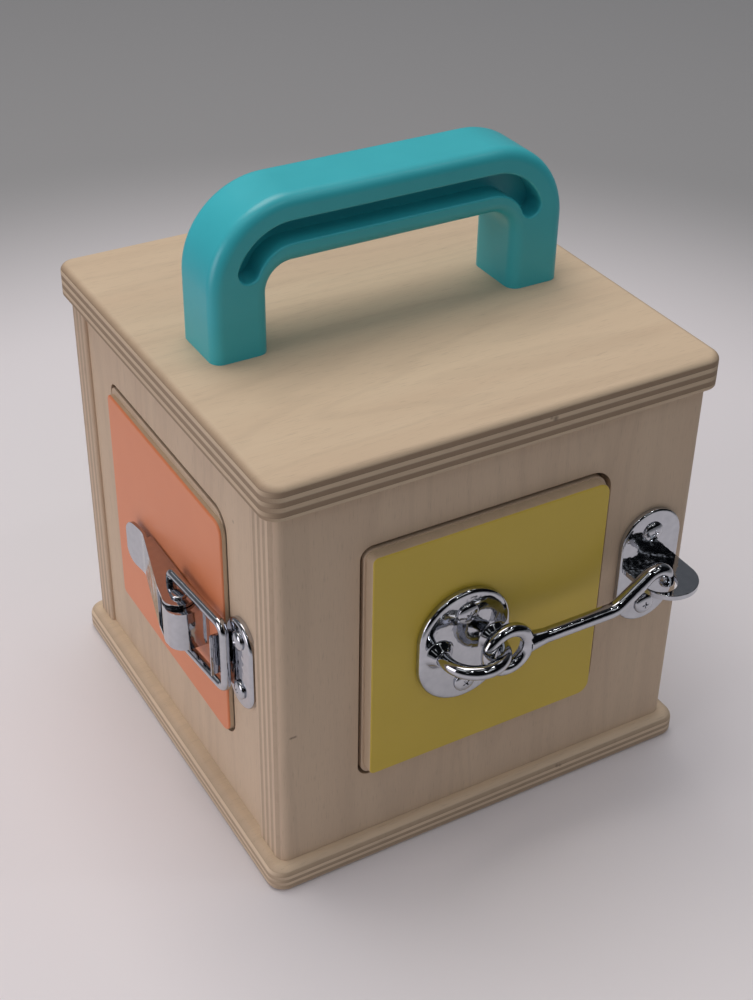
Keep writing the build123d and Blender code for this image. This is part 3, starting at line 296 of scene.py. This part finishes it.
def bare_wood(tree, where, looks, nicks):
    """The colour and the relief of bare plywood, as two nodes.

    looks holds a light and a dark colour, the colour of fibre ends and the strength of the glue lines.
    nicks are dark specks as (place, radius, strength).
    """
    light, dark, fibre_end, glue_strength = looks
    fibre_place = where["fibres"]
    figure_place = add_node(tree, "ShaderNodeMapping", {0: fibre_place, 3: stretch(160, 14)})
    figure = add_node(
        tree, "ShaderNodeTexNoise",
        {"Vector": figure_place, "Scale": 1.0, "Detail": 3.0, "Distortion": 0.3},
    )
    # Yearly rings show as faint thin lines where the peeled sheet cuts them.
    ring_place = add_node(tree, "ShaderNodeMapping", {0: fibre_place, 3: stretch(320, 30)})
    ring_field = add_node(
        tree, "ShaderNodeTexNoise",
        {"Vector": ring_place, "Scale": 1.0, "Detail": 1.5, "Distortion": 0.4},
    )
    ring_wave = add_node(tree, "ShaderNodeMath", {0: ring_field, 1: 62.0}, operation="MULTIPLY")
    rings = add_node(tree, "ShaderNodeMath", {0: ring_wave}, operation="SINE")
    ring_line = add_node(
        tree, "ShaderNodeMapRange", {"Value": rings, "From Min": 0.2, "From Max": 1.0, "To Max": 0.06},
    )
    streak_place = add_node(tree, "ShaderNodeMapping", {0: fibre_place, 3: stretch(14, 0.45)})
    streaks = add_node(tree, "ShaderNodeTexNoise", {"Vector": streak_place, "Scale": 1.0, "Detail": 2.0})
    pore_place = add_node(tree, "ShaderNodeMapping", {0: fibre_place, 3: stretch(5.0, 0.3)})
    pore_field = add_node(
        tree, "ShaderNodeTexNoise", {"Vector": pore_place, "Scale": 1.0, "Detail": 0.0},
    )
    pores = add_node(
        tree, "ShaderNodeMapRange",
        {"Value": pore_field, "From Min": 0.66, "From Max": 0.78, "To Max": 0.14},
    )
    glue = add_node(
        tree, "ShaderNodeMapRange",
        {"Value": where["within"], "From Min": 0.76, "From Max": 0.94, "To Max": glue_strength},
    )
    base = add_node(
        tree, "ShaderNodeMix",
        {0: figure.outputs[0], 6: colour(dark), 7: colour(light)}, data_type="RGBA",
    ).outputs[2]
    ended = add_node(
        tree, "ShaderNodeMix", {0: where["ends"].outputs[0], 6: base, 7: colour(fibre_end)},
        data_type="RGBA",
    ).outputs[2]
    marks = add_node(tree, "ShaderNodeMath", {0: ring_line, 1: pores}, operation="ADD")
    all_marks = add_node(tree, "ShaderNodeMath", {0: marks, 1: glue}, operation="ADD", use_clamp=True)
    for nick_place, nick_radius, nick_strength in nicks:
        away = add_node(
            tree, "ShaderNodeVectorMath", {0: where["place"], 1: nick_place}, operation="DISTANCE",
        )
        nick = add_node(
            tree, "ShaderNodeMapRange",
            {
                "Value": away.outputs["Value"], "From Min": nick_radius, "From Max": 0.0,
                "To Max": nick_strength,
            },
        )
        all_marks = add_node(
            tree, "ShaderNodeMath", {0: all_marks, 1: nick}, operation="ADD", use_clamp=True,
        )
    streak_share = add_node(
        tree, "ShaderNodeMath", {0: streaks, 1: 0.07, 2: 0.965}, operation="MULTIPLY_ADD",
    )
    fibred = add_node(tree, "ShaderNodeVectorMath", {0: ended, 3: streak_share}, operation="SCALE")
    marked = add_node(
        tree, "ShaderNodeMix", {0: all_marks, 6: fibred, 7: colour("6A5546")}, data_type="RGBA",
    ).outputs[2]
    relief_fine = add_node(tree, "ShaderNodeMath", {0: streaks, 1: 0.6}, operation="MULTIPLY")
    relief = add_node(tree, "ShaderNodeMath", {0: relief_fine, 1: all_marks}, operation="SUBTRACT")
    bump = add_node(
        tree, "ShaderNodeBump", {"Height": relief, "Strength": 0.35, "Distance": 0.08 * MM},
    )
    return marked, bump


# %% [markdown]
# The door panels are the same plywood under a satin paint that was rolled on: it covers the face and a
# little of the rounded edge, its border wanders, and its skin has a faint orange peel.


# %% Paint over wood
def rolled_paint(tree, where, wood_colour, paint, coat_depth):
    """Close a material with paint that reaches coat_depth mm down the sides of a panel."""
    place = where["place"]
    edge_noise = add_node(tree, "ShaderNodeTexNoise", {"Vector": place, "Scale": 1.1, "Detail": 2.0})
    reach = add_node(
        tree, "ShaderNodeMath", {0: edge_noise, 1: 0.16, 2: where["depth"]}, operation="MULTIPLY_ADD",
    )
    painted = add_node(
        tree, "ShaderNodeMapRange",
        {"Value": reach, "From Min": coat_depth, "From Max": coat_depth - 0.08},
    )
    cloud = add_node(tree, "ShaderNodeTexNoise", {"Vector": place, "Scale": 0.05, "Detail": 3.0})
    coat = add_node(
        tree, "ShaderNodeMix",
        {0: cloud.outputs[0], 6: colour(paint[0]), 7: colour(paint[1])}, data_type="RGBA",
    ).outputs[2]
    shown = add_node(
        tree, "ShaderNodeMix", {0: painted, 6: wood_colour, 7: coat}, data_type="RGBA",
    ).outputs[2]
    orange_peel = add_node(
        tree, "ShaderNodeTexNoise", {"Vector": place, "Scale": 1 / 0.9, "Detail": 2.0},
    )
    skin = add_node(
        tree, "ShaderNodeBump", {"Height": orange_peel, "Strength": 0.16, "Distance": 0.05 * MM},
    )
    sheen = add_node(
        tree, "ShaderNodeMapRange", {"Value": painted, "To Min": 0.65, "To Max": 0.4},
    )
    finish_material(tree, {"Base Color": shown, "Roughness": sheen, "Normal": skin})


def plywood(name, layer, grain, start, side, total, sheets, looks, seed, nicks=()):
    """Bare sanded plywood. sheet_at and bare_wood tell what the values mean."""
    material, tree = new_material(name)
    where = sheet_at(tree, layer, grain, start, side, total, sheets, seed)
    wood_colour, bump = bare_wood(tree, where, looks, nicks)
    finish_material(tree, {"Base Color": wood_colour, "Roughness": 0.62, "Normal": bump})
    return material


def painted_plywood(name, layer, grain, start, side, total, looks, seed, paint, coat_depth):
    """One sheet of plywood with paint on its outer face."""
    material, tree = new_material(name)
    where = sheet_at(tree, layer, grain, start, side, total, 1, seed)
    wood_colour, _ = bare_wood(tree, where, looks, ())
    rolled_paint(tree, where, wood_colour, paint, coat_depth)
    return material


# %% [markdown]
# Each board gets its own material, because its sheets lie another way and start at another place. The
# lid and the base lie flat with their grain from left to right. The four walls stand, and so does their
# grain.

# %% Dress the boards
# For each side: the axis across its wall, the wall's outer face in mm, and the way that depth grows.
box_axes = {"front": (1, -80.0, 1), "left": (0, -78.5, 1), "right": (0, 78.5, -1), "back": (1, 80.0, -1)}
wall_nodes = {"front": "front_panel", "left": "left_wall", "right": "right_wall", "back": "back_panel"}
wall_sizes = {"front": (15.0, 9), "left": (15.0, 9), "right": (15.0, 9), "back": (12.0, 7)}
face_proud = {"front": 4.4, "left": 2.4, "right": 2.4, "back": 2.4}
coat_depths = {"front": 0.42, "left": 0.9, "right": 0.9, "back": 0.9}
# A door's board lies this much behind the wall's outer face, in mm.
board_setback = 0.3
paints = {
    "front": ("CEB33C", "D5B944"),
    "left": ("E08559", "E68D60"),
    "right": ("4E86B5", "568FBE"),
    "back": ("6FA35E", "78AB66"),
}
# Light, dark, fibre ends and glue lines: the lid and base show their sheets more than the walls do.
lid_look = ("D8C3A6", "C8AF93", "9C846B", 0.3)
base_look = ("E2CDB2", "D2B99B", "B09980", 0.16)
wall_look = ("D8C1A6", "CAB198", "B8A189", 0.12)
panel_look = ("D4BFA4", "CBB499", "C2AC90", 0.0)
lid_nicks = [((16.1, -83.0, 157.6), 1.3, 0.8), ((14.5, -83.0, 158.2), 0.8, 0.6)]
base_nicks = [((29.7, -84.5, 6.9), 0.9, 0.7), ((31.0, -84.5, 6.6), 0.8, 0.6)]
wall_nicks = {
    "front": [((-75.5 + 0.5 * i, -80.0, 63.5), 0.7, 0.5) for i in range(5)],
    "left": [((-78.5, -49.8, 130.1), 0.9, 0.5)],
}
x_axis, z_axis = 0, 2


def dress(node, material):
    """Give a CAD node one material."""
    nodes[node].data.materials.clear()
    nodes[node].data.materials.append(material)


lid_wood = plywood("birch_plywood_lid", z_axis, x_axis, 162.0, -1, 12.0, 7, lid_look, 1, lid_nicks)
base_wood = plywood("birch_plywood_base", z_axis, x_axis, 9.0, -1, 9.0, 7, base_look, 2, base_nicks)
dress("lid_board", lid_wood)
wall_woods, door_woods = {}, {}
for number, (side, (axis, start, direction)) in enumerate(box_axes.items()):
    total, sheets = wall_sizes[side]
    wall_woods[side] = plywood(
        f"birch_plywood_{side}", axis, z_axis, start, direction, total, sheets, wall_look, 3 + number,
        wall_nicks.get(side, ()),
    )
    door_woods[side] = plywood(
        f"birch_plywood_{side}_door", axis, z_axis, start - board_setback * direction, direction, total,
        sheets, wall_look, 8 + number,
    )
    proud = face_proud[side]
    face_paint = painted_plywood(
        f"satin_paint_{side}", axis, z_axis, start - proud * direction, direction,
        proud - board_setback, panel_look, 13 + number, paints[side], coat_depths[side],
    )
    dress(f"{side}_door_face", face_paint)
print("plywood for", 2 + len(wall_woods) + len(door_woods) + len(paints), "boards and panels")

# %% [markdown]
# ## Beech, plastic, chrome and zinc
# The dowels, the stop battens, the turn button and the knob are turned or planed beech, which shows short
# dark flecks. The handle is moulded ABS plastic in teal, with a satin skin. The latches are steel with
# bright chrome plate, whose polish follows the stamped metal under it and so waves a little. Screws that
# nobody sees are zinc plated, which is duller.

# %% Other materials
beech, tree = new_material("planed_beech")
place, _ = place_in_mm(tree)
fibre_place = add_node(tree, "ShaderNodeMapping", {0: place, 3: (1 / 1.2, 1 / 1.2, 1 / 26)})
fibres = add_node(tree, "ShaderNodeTexNoise", {"Vector": fibre_place, "Scale": 1.0, "Detail": 4.0})
fleck_place = add_node(tree, "ShaderNodeMapping", {0: place, 3: (1 / 0.5, 1 / 0.5, 1 / 3.0)})
fleck_field = add_node(tree, "ShaderNodeTexNoise", {"Vector": fleck_place, "Scale": 1.0, "Detail": 0.0})
flecks = add_node(
    tree, "ShaderNodeMapRange",
    {"Value": fleck_field, "From Min": 0.66, "From Max": 0.74, "To Max": 0.45},
)
wood = add_node(
    tree, "ShaderNodeMix",
    {0: fibres.outputs[0], 6: colour("B98F66"), 7: colour("D9B78C")}, data_type="RGBA",
)
flecked = add_node(
    tree, "ShaderNodeMix", {0: flecks, 6: wood.outputs[2], 7: colour("7E5A3C")}, data_type="RGBA",
)
bump = add_node(tree, "ShaderNodeBump", {"Height": fibres, "Strength": 0.25, "Distance": 0.08 * MM})
finish_material(tree, {"Base Color": flecked.outputs[2], "Roughness": 0.5, "Normal": bump})

teal, tree = new_material("moulded_abs_teal")
place, _ = place_in_mm(tree)
cloud = add_node(tree, "ShaderNodeTexNoise", {"Vector": place, "Scale": 1 / 22, "Detail": 2.0})
grain = add_node(tree, "ShaderNodeTexNoise", {"Vector": place, "Scale": 1 / 0.35, "Detail": 2.0})
flow = add_node(tree, "ShaderNodeTexNoise", {"Vector": place, "Scale": 1 / 6.0, "Detail": 1.0})
body_colour = add_node(
    tree, "ShaderNodeMix",
    {0: cloud.outputs[0], 6: colour("34AFBB"), 7: colour("3EBDC9")}, data_type="RGBA",
)
fine = add_node(tree, "ShaderNodeBump", {"Height": grain, "Strength": 0.12, "Distance": 0.03 * MM})
bump = add_node(
    tree, "ShaderNodeBump", {"Height": flow, "Strength": 0.2, "Distance": 0.12 * MM, "Normal": fine},
)
gloss = add_node(tree, "ShaderNodeMapRange", {"Value": flow, "To Min": 0.3, "To Max": 0.38})
abs_ior = 1.53
finish_material(
    tree,
    {"Base Color": body_colour.outputs[2], "Roughness": gloss, "Normal": bump, "IOR": abs_ior},
)


# %% Plated steel
def plated(name, light, dark, smooth, rough, wave):
    """Plated steel whose polish waves a little, by wave mm, and has fine handling marks.

    smooth and rough are the roughness where it is cleanest and where it is most marked.
    """
    material, tree = new_material(name)
    place, _ = place_in_mm(tree)
    swell = add_node(tree, "ShaderNodeTexNoise", {"Vector": place, "Scale": 1 / 5.0, "Detail": 2.0})
    dull = add_node(tree, "ShaderNodeTexNoise", {"Vector": place, "Scale": 1 / 2.4, "Detail": 4.0})
    tint = add_node(
        tree, "ShaderNodeMix", {0: dull.outputs[0], 6: colour(dark), 7: colour(light)}, data_type="RGBA",
    )
    polish = add_node(tree, "ShaderNodeMapRange", {"Value": dull, "To Min": smooth, "To Max": rough})
    bump = add_node(tree, "ShaderNodeBump", {"Height": swell, "Strength": 0.5, "Distance": wave * MM})
    finish_material(
        tree, {"Base Color": tint.outputs[2], "Metallic": 1.0, "Roughness": polish, "Normal": bump},
    )
    return material


chrome = plated("bright_chrome_plate", "CACDD3", "B2B5BC", 0.03, 0.1, 0.25)
zinc = plated("zinc_plated_steel", "B9BBBE", "9A9DA0", 0.28, 0.42, 0.1)

# %% Dress the small pieces
for node in ("lid_dowels", "corner_dowels", "turn_button", "back_door_knob"):
    dress(node, beech)
for side in box_axes:
    dress(f"{side}_door_stop", beech)
    dress(f"{side}_door_pins", zinc)
hidden_steel = (
    "base_screws", "handle_screws", "handle_washers", "knob_screw", "turn_button_spacer",
    "turn_button_screw",
)
for node in hidden_steel:
    dress(node, zinc)
dress("carry_handle", teal)
print("materials:", sorted(m.name for m in bpy.data.materials if m.node_tree))

# %% [markdown]
# ## Soft edges
# Stamped and plated metal has no sharp edge: each one is rounded by a few tenths of a millimetre and
# draws a bright line of light. Sanded boards are rounder still, and the rim of each doorway was rounded
# by a router. A copy of the CAD piece is merged, its flat faces are made whole, and a Bevel modifier
# rounds what is left, by a weight on each edge. This keeps every size of the CAD piece.


# %% Keep a mesh as a piece
def keep_mesh(name, mesh, material, body, replaced):
    """Make a finished mesh a piece that rides on a body in place of CAD nodes."""
    mesh.name = name
    mesh.materials.clear()
    mesh.materials.append(material)
    piece = bpy.data.objects.new(name, mesh)
    bpy.context.scene.collection.objects.link(piece)
    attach(piece, body)
    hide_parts(*replaced)
    return piece


def evaluated_mesh(piece):
    """The mesh that an object shows, as a plain mesh; the object goes."""
    view_layer = bpy.context.view_layer
    view_layer.update()
    graph = bpy.context.evaluated_depsgraph_get()
    mesh = bpy.data.meshes.new_from_object(piece.evaluated_get(graph))
    bpy.data.objects.remove(piece)
    return mesh


# %% Round the edges of a CAD piece
sharp_angle = math.radians(32)


def merged_copy(node):
    """A copy of a CAD node's mesh, and a sketch of it with its triangles joined into whole faces."""
    mesh = nodes[node].data.copy()
    for name in ("custom_normal", "sharp_edge", "sharp_face"):
        if name in mesh.attributes:
            mesh.attributes.remove(mesh.attributes[name])
    sketch = bmesh.new()
    sketch.from_mesh(mesh)
    same_spot, flat_angle = 0.002 * MM, math.radians(1.0)
    bmesh.ops.remove_doubles(sketch, verts=sketch.verts, dist=same_spot)
    bmesh.ops.dissolve_limit(
        sketch, angle_limit=flat_angle, verts=sketch.verts, edges=sketch.edges,
    )
    return mesh, sketch


def softened(node, edge, body, material=chrome, rim=None, rim_edge=0.0):
    """A copy of a CAD node with its edges rounded by edge mm.

    rim tells whether a point in mm is on an edge that is rounded by rim_edge mm instead.
    """
    mesh, sketch = merged_copy(node)
    widest = max(edge, rim_edge)
    weight = sketch.edges.layers.float.new("bevel_weight_edge")
    for line in sketch.edges:
        if line.calc_face_angle(0.0) < sharp_angle:
            continue
        on_rim = rim is not None and all(rim(v.co / MM) for v in line.verts)
        line[weight] = (rim_edge if on_rim else edge) / widest
    sketch.to_mesh(mesh)
    sketch.free()
    mesh.shade_smooth()
    copy = bpy.data.objects.new(node + "_copy", mesh)
    bpy.context.scene.collection.objects.link(copy)
    rounding = copy.modifiers.new("soft_edges", "BEVEL")
    rounding.limit_method = "WEIGHT"
    rounding.width, rounding.segments = widest * MM, 4 if rim else 3
    rounding.harden_normals = True
    done = evaluated_mesh(copy)
    return keep_mesh(node + "_soft", done, material, body, [node])


def doorway_rim(side):
    """A test for points on the outer edge of a side's doorway."""
    axis, start, _ = box_axes[side]
    across = 1 - axis
    # The doorway is inside these limits and the wall's outline is outside them, in mm.
    farthest, lowest, highest = 52, 25, 140

    def on_rim(point):
        on_face = abs(point[axis] - start) < 0.05
        return on_face and abs(point[across]) < farthest and lowest < point[2] < highest

    return on_rim


# %% [markdown]
# The upper edge of the base board was rounded with a larger cutter than the other boards. Its rounding
# in the CAD model is small, so its points are moved: each keeps its place on the curve while the curve
# grows, inwards and down.


# %% Round the base board
def rounder_base():
    """The base board with its upper edge rounded by 3.4 mm, as by a router, in place of 1.5 mm."""
    # Half the board's width, its corner radius and thickness, and the two roundings, in mm.
    half, corner, top, cad_radius, radius = 84.5, 6.0, 9.0, 1.5, 3.4
    mesh, sketch = merged_copy("base_board")
    for vertex in sketch.verts:
        x, y, z = vertex.co / MM
        # How far the point is past the middle of the corner's arc, in each direction.
        beyond = Vector((max(abs(x) - half + corner, 0.0), max(abs(y) - half + corner, 0.0)))
        inward = corner - beyond.length
        if z < top - cad_radius - 0.01 or beyond.length == 0 or inward > cad_radius + 0.01:
            continue
        outward = Vector((math.copysign(beyond.x, x), math.copysign(beyond.y, y))).normalized()
        grow = radius / cad_radius
        shift = outward * (inward - inward * grow)
        vertex.co = Vector((x + shift.x, y + shift.y, top - (top - z) * grow)) * MM
    sketch.to_mesh(mesh)
    sketch.free()
    mesh.shade_smooth()
    mesh.set_sharp_from_angle(angle=math.radians(30))
    return keep_mesh("base_board_rounded", mesh, base_wood, "frame", ["base_board"])


# %% [markdown]
# The hook's ring was bent and welded, and its plate was stamped round the staple's feet, so their joins
# flow. A Remesh modifier makes one skin over the piece, and a Smooth modifier lets it relax.


# %% Flowing joins
def forged(node, grid, rounds, body):
    """A copy of a CAD node remade on a grid of grid mm and smoothed, so that its joins flow."""
    copy = bpy.data.objects.new(node + "_copy", nodes[node].data.copy())
    bpy.context.scene.collection.objects.link(copy)
    remade = copy.modifiers.new("remade", "REMESH")
    remade.mode, remade.voxel_size, remade.use_smooth_shade = "VOXEL", grid * MM, True
    flowing = copy.modifiers.new("flowing", "SMOOTH")
    flowing.factor, flowing.iterations = 0.5, rounds
    done = evaluated_mesh(copy)
    return keep_mesh(node + "_forged", done, chrome, body, [node])


# %% Make the soft pieces
forged("hook_rod", 0.24, 14, "front_hook")
forged("hook_plate", 0.26, 12, "front_door")
rounder_base()
for side, node in wall_nodes.items():
    softened(node, 0.8, "frame", wall_woods[side], doorway_rim(side), 1.7)
    softened(f"{side}_door_board", 0.6, f"{side}_door", door_woods[side])
softened("hook_keeper", 0.5, "frame")
softened("clasp_base", 0.3, "left_door")
softened("clasp_pin", 0.3, "left_door")
softened("clasp_lever", 0.3, "clasp_lever_arm")
softened("clasp_keeper", 0.3, "frame")
softened("bolt_plate", 0.4, "right_door")
softened("bolt_keeper", 0.4, "frame")
softened("bolt_rod", 0.2, "slide_bolt")
softened("bolt_knob", 0.3, "slide_bolt")
for node in ("hook_staple", "clasp_bail"):
    dress(node, chrome)
print("softened pieces done")

# %% [markdown]
# ## Screws by Geometry Nodes
# Fourteen round-head screws hold the fittings, in four sizes, and each was driven until it was tight, so
# its cross stands at its own angle. One screw is made once, and a node tree sets it on points that carry
# the direction and the size of each head.


# %% One screw head
def lathe(profile, steps):
    """Turn a profile of (radius, height) points round the Z axis into a closed mesh."""
    sketch = bmesh.new()
    loops = []
    for radius, height in profile:
        if radius < 1e-6:
            loops.append([sketch.verts.new((0, 0, height))])
            continue
        loops.append(
            [
                sketch.verts.new((radius * math.cos(a), radius * math.sin(a), height))
                for a in np.linspace(0, 2 * math.pi, steps, endpoint=False)
            ]
        )
    for low, high in zip(loops, loops[1:]):
        for i in range(steps):
            j = (i + 1) % steps
            corners = [low[i % len(low)], low[j % len(low)], high[j % len(high)], high[i % len(high)]]
            corners = list(dict.fromkeys(corners))
            sketch.faces.new(corners)
    bmesh.ops.recalc_face_normals(sketch, faces=sketch.faces)
    return sketch


# The screw's sizes are shares of the head's radius and height.
head_rim = 0.18
dome = [
    (math.sin(a), head_rim + (1 - head_rim) * math.cos(a)) for a in np.linspace(0, math.pi / 2, 9)
]
shank = [(0.97, 0.0), (0.36, 0.0), (0.36, -2.2), (0.0, -2.6)]
screw_sketch = lathe([*dome, *shank], 40)
screw_mesh = bpy.data.meshes.new("round_screw")
screw_sketch.to_mesh(screw_mesh)
screw_sketch.free()
screw = bpy.data.objects.new("round_screw", screw_mesh)
bpy.context.scene.collection.objects.link(screw)
cutters = []
slot_long, slot_wide, slot_deep, slot_middle, slot_foot = 1.0, 0.2, 0.9, 0.95, 0.45
for span in ((slot_long, slot_wide, slot_deep), (slot_wide, slot_long, slot_deep)):
    cut_sketch = bmesh.new()
    bmesh.ops.create_cube(cut_sketch, size=1.0)
    bmesh.ops.scale(cut_sketch, vec=span, verts=cut_sketch.verts)
    low = [v for v in cut_sketch.verts if v.co.z < 0]
    bmesh.ops.scale(cut_sketch, vec=(slot_foot, slot_foot, 1.0), verts=low)
    bmesh.ops.translate(cut_sketch, vec=(0, 0, slot_middle), verts=cut_sketch.verts)
    cut_mesh = bpy.data.meshes.new("cross_cutter")
    cut_sketch.to_mesh(cut_mesh)
    cut_sketch.free()
    cutter = bpy.data.objects.new("cross_cutter", cut_mesh)
    bpy.context.scene.collection.objects.link(cutter)
    cut = screw.modifiers.new("cross", "BOOLEAN")
    cut.operation, cut.object, cut.solver = "DIFFERENCE", cutter, "EXACT"
    cutters.append(cutter)
rim = screw.modifiers.new("rim", "BEVEL")
rim.width, rim.segments, rim.limit_method = 0.03, 2, "ANGLE"
rim.angle_limit = math.radians(40)
screw_blank_mesh = evaluated_mesh(screw)
for cutter in cutters:
    bpy.data.objects.remove(cutter)
screw_blank_mesh.shade_smooth()
screw_blank_mesh.set_sharp_from_angle(angle=math.radians(35))
screw_blank = bpy.data.objects.new("screw_blank", screw_blank_mesh)
bpy.context.scene.collection.objects.link(screw_blank)
print("screw blank:", len(screw_blank_mesh.polygons), "faces")

# %% Set screws on points
screw_tree = bpy.data.node_groups.new("set_screws", "GeometryNodeTree")
for name, kind in (
    ("Points", "NodeSocketGeometry"),
    ("Screw", "NodeSocketObject"),
    ("Finish", "NodeSocketMaterial"),
    ("Seed", "NodeSocketInt"),
):
    screw_tree.interface.new_socket(name=name, in_out="INPUT", socket_type=kind)
screw_tree.interface.new_socket(name="Screws", in_out="OUTPUT", socket_type="NodeSocketGeometry")
given = add_node(screw_tree, "NodeGroupInput")
facing = add_node(
    screw_tree, "GeometryNodeInputNamedAttribute", {0: "facing"}, data_type="FLOAT_VECTOR",
)
size = add_node(
    screw_tree, "GeometryNodeInputNamedAttribute", {0: "size"}, data_type="FLOAT_VECTOR",
)
aligned = add_node(screw_tree, "FunctionNodeAlignRotationToVector", {"Vector": facing}, axis="Z")
angle = add_node(
    screw_tree, "FunctionNodeRandomValue", {"Seed": given.outputs["Seed"]}, data_type="FLOAT",
)
half_turn = 3.14
angle.inputs[3].default_value = half_turn
spin = add_node(screw_tree, "ShaderNodeCombineXYZ", {2: angle.outputs[1]})
spun = add_node(
    screw_tree, "FunctionNodeRotateRotation", {0: aligned, 1: spin}, rotation_space="LOCAL",
)
blank = add_node(screw_tree, "GeometryNodeObjectInfo", {"Object": given.outputs["Screw"]})
placed = add_node(
    screw_tree, "GeometryNodeInstanceOnPoints",
    {
        "Points": given.outputs["Points"],
        "Instance": blank.outputs["Geometry"],
        "Rotation": spun,
        "Scale": size,
    },
)
whole = add_node(screw_tree, "GeometryNodeRealizeInstances", {0: placed})
shown = add_node(
    screw_tree, "GeometryNodeSetMaterial", {"Geometry": whole, "Material": given.outputs["Finish"]},
)
add_node(screw_tree, "NodeGroupOutput", {0: shown})


def grown(start_mesh, tree, values):
    """Run a node tree on a mesh and give the result as a plain mesh."""
    start = bpy.data.objects.new("start", start_mesh)
    bpy.context.scene.collection.objects.link(start)
    modifier = start.modifiers.new("grow", "NODES")
    modifier.node_group = tree
    for socket in tree.interface.items_tree:
        if socket.name in values:
            modifier[socket.identifier] = values[socket.name]
    return evaluated_mesh(start)


# %% [markdown]
# Each screw's place is given on its own wall: along it to the right as seen from outside, up from the
# floor, and out of the wall. A matrix for each wall turns that into a place on the box.


# %% Set the screws
walls = {
    "front": Matrix(((1, 0, 0, 0), (0, 0, -1, -80), (0, 1, 0, 0), (0, 0, 0, 1))),
    "left": Matrix(((0, 0, -1, -78.5), (-1, 0, 0, 0), (0, 1, 0, 0), (0, 0, 0, 1))),
    "right": Matrix(((0, 0, 1, 78.5), (1, 0, 0, 0), (0, 1, 0, 0), (0, 0, 0, 1))),
    "back": Matrix(((-1, 0, 0, 0), (0, 0, 1, 80), (0, 1, 0, 0), (0, 0, 0, 1))),
}
to_metres = Matrix.Scale(MM, 4)


def set_screws(name, wall, spots, radius, height, body, seed):
    """Round-head screws at (along, up, out) spots of a wall, all in mm."""
    mesh = bpy.data.meshes.new("screw_spots")
    mesh.from_pydata([to_metres @ walls[wall] @ Vector(spot) for spot in spots], [], [])
    out = walls[wall].to_3x3() @ Vector((0, 0, 1))
    for title, value in (("facing", out), ("size", Vector((radius, radius, height)) * MM)):
        layer = mesh.attributes.new(title, "FLOAT_VECTOR", "POINT")
        for item in layer.data:
            item.vector = value
    done = grown(mesh, screw_tree, {"Screw": screw_blank, "Finish": chrome, "Seed": seed})
    return keep_mesh(name + "_set", done, chrome, body, [name])


bolt_up, bolt_row = 82.2, 9.2
hook_spots = [(-15.2, 96.4, 7.2), (-15.2, 68.4, 7.2)]
eye_spots = [(62.3, 98.4, 2.0), (62.3, 67.8, 2.0)]
lip_spots = [(55.6, 88.3, 2.4), (55.6, 67.9, 2.4)]
lever_spots = [(2.4, 80.9, 3.6), (2.4, 73.1, 3.6)]
bolt_spots = [(along, bolt_up + row * bolt_row, 4.0) for along in (-3, 36) for row in (-1, 1)]
socket_spots = [(51.6, bolt_up + row * bolt_row, 1.6) for row in (-1, 1)]
set_screws("hook_plate_screws", "front", hook_spots, 3.9, 1.7, "front_door", 3)
set_screws("hook_keeper_screws", "front", eye_spots, 3.9, 1.7, "frame", 5)
set_screws("clasp_keeper_screws", "left", lip_spots, 3.4, 1.7, "frame", 7)
set_screws("clasp_base_screws", "left", lever_spots, 2.6, 0.9, "left_door", 9)
set_screws("bolt_plate_screws", "right", bolt_spots, 3.2, 1.7, "right_door", 11)
set_screws("bolt_keeper_screws", "right", socket_spots, 3.2, 1.7, "frame", 13)
bpy.data.objects.remove(screw_blank)
print("screws set")
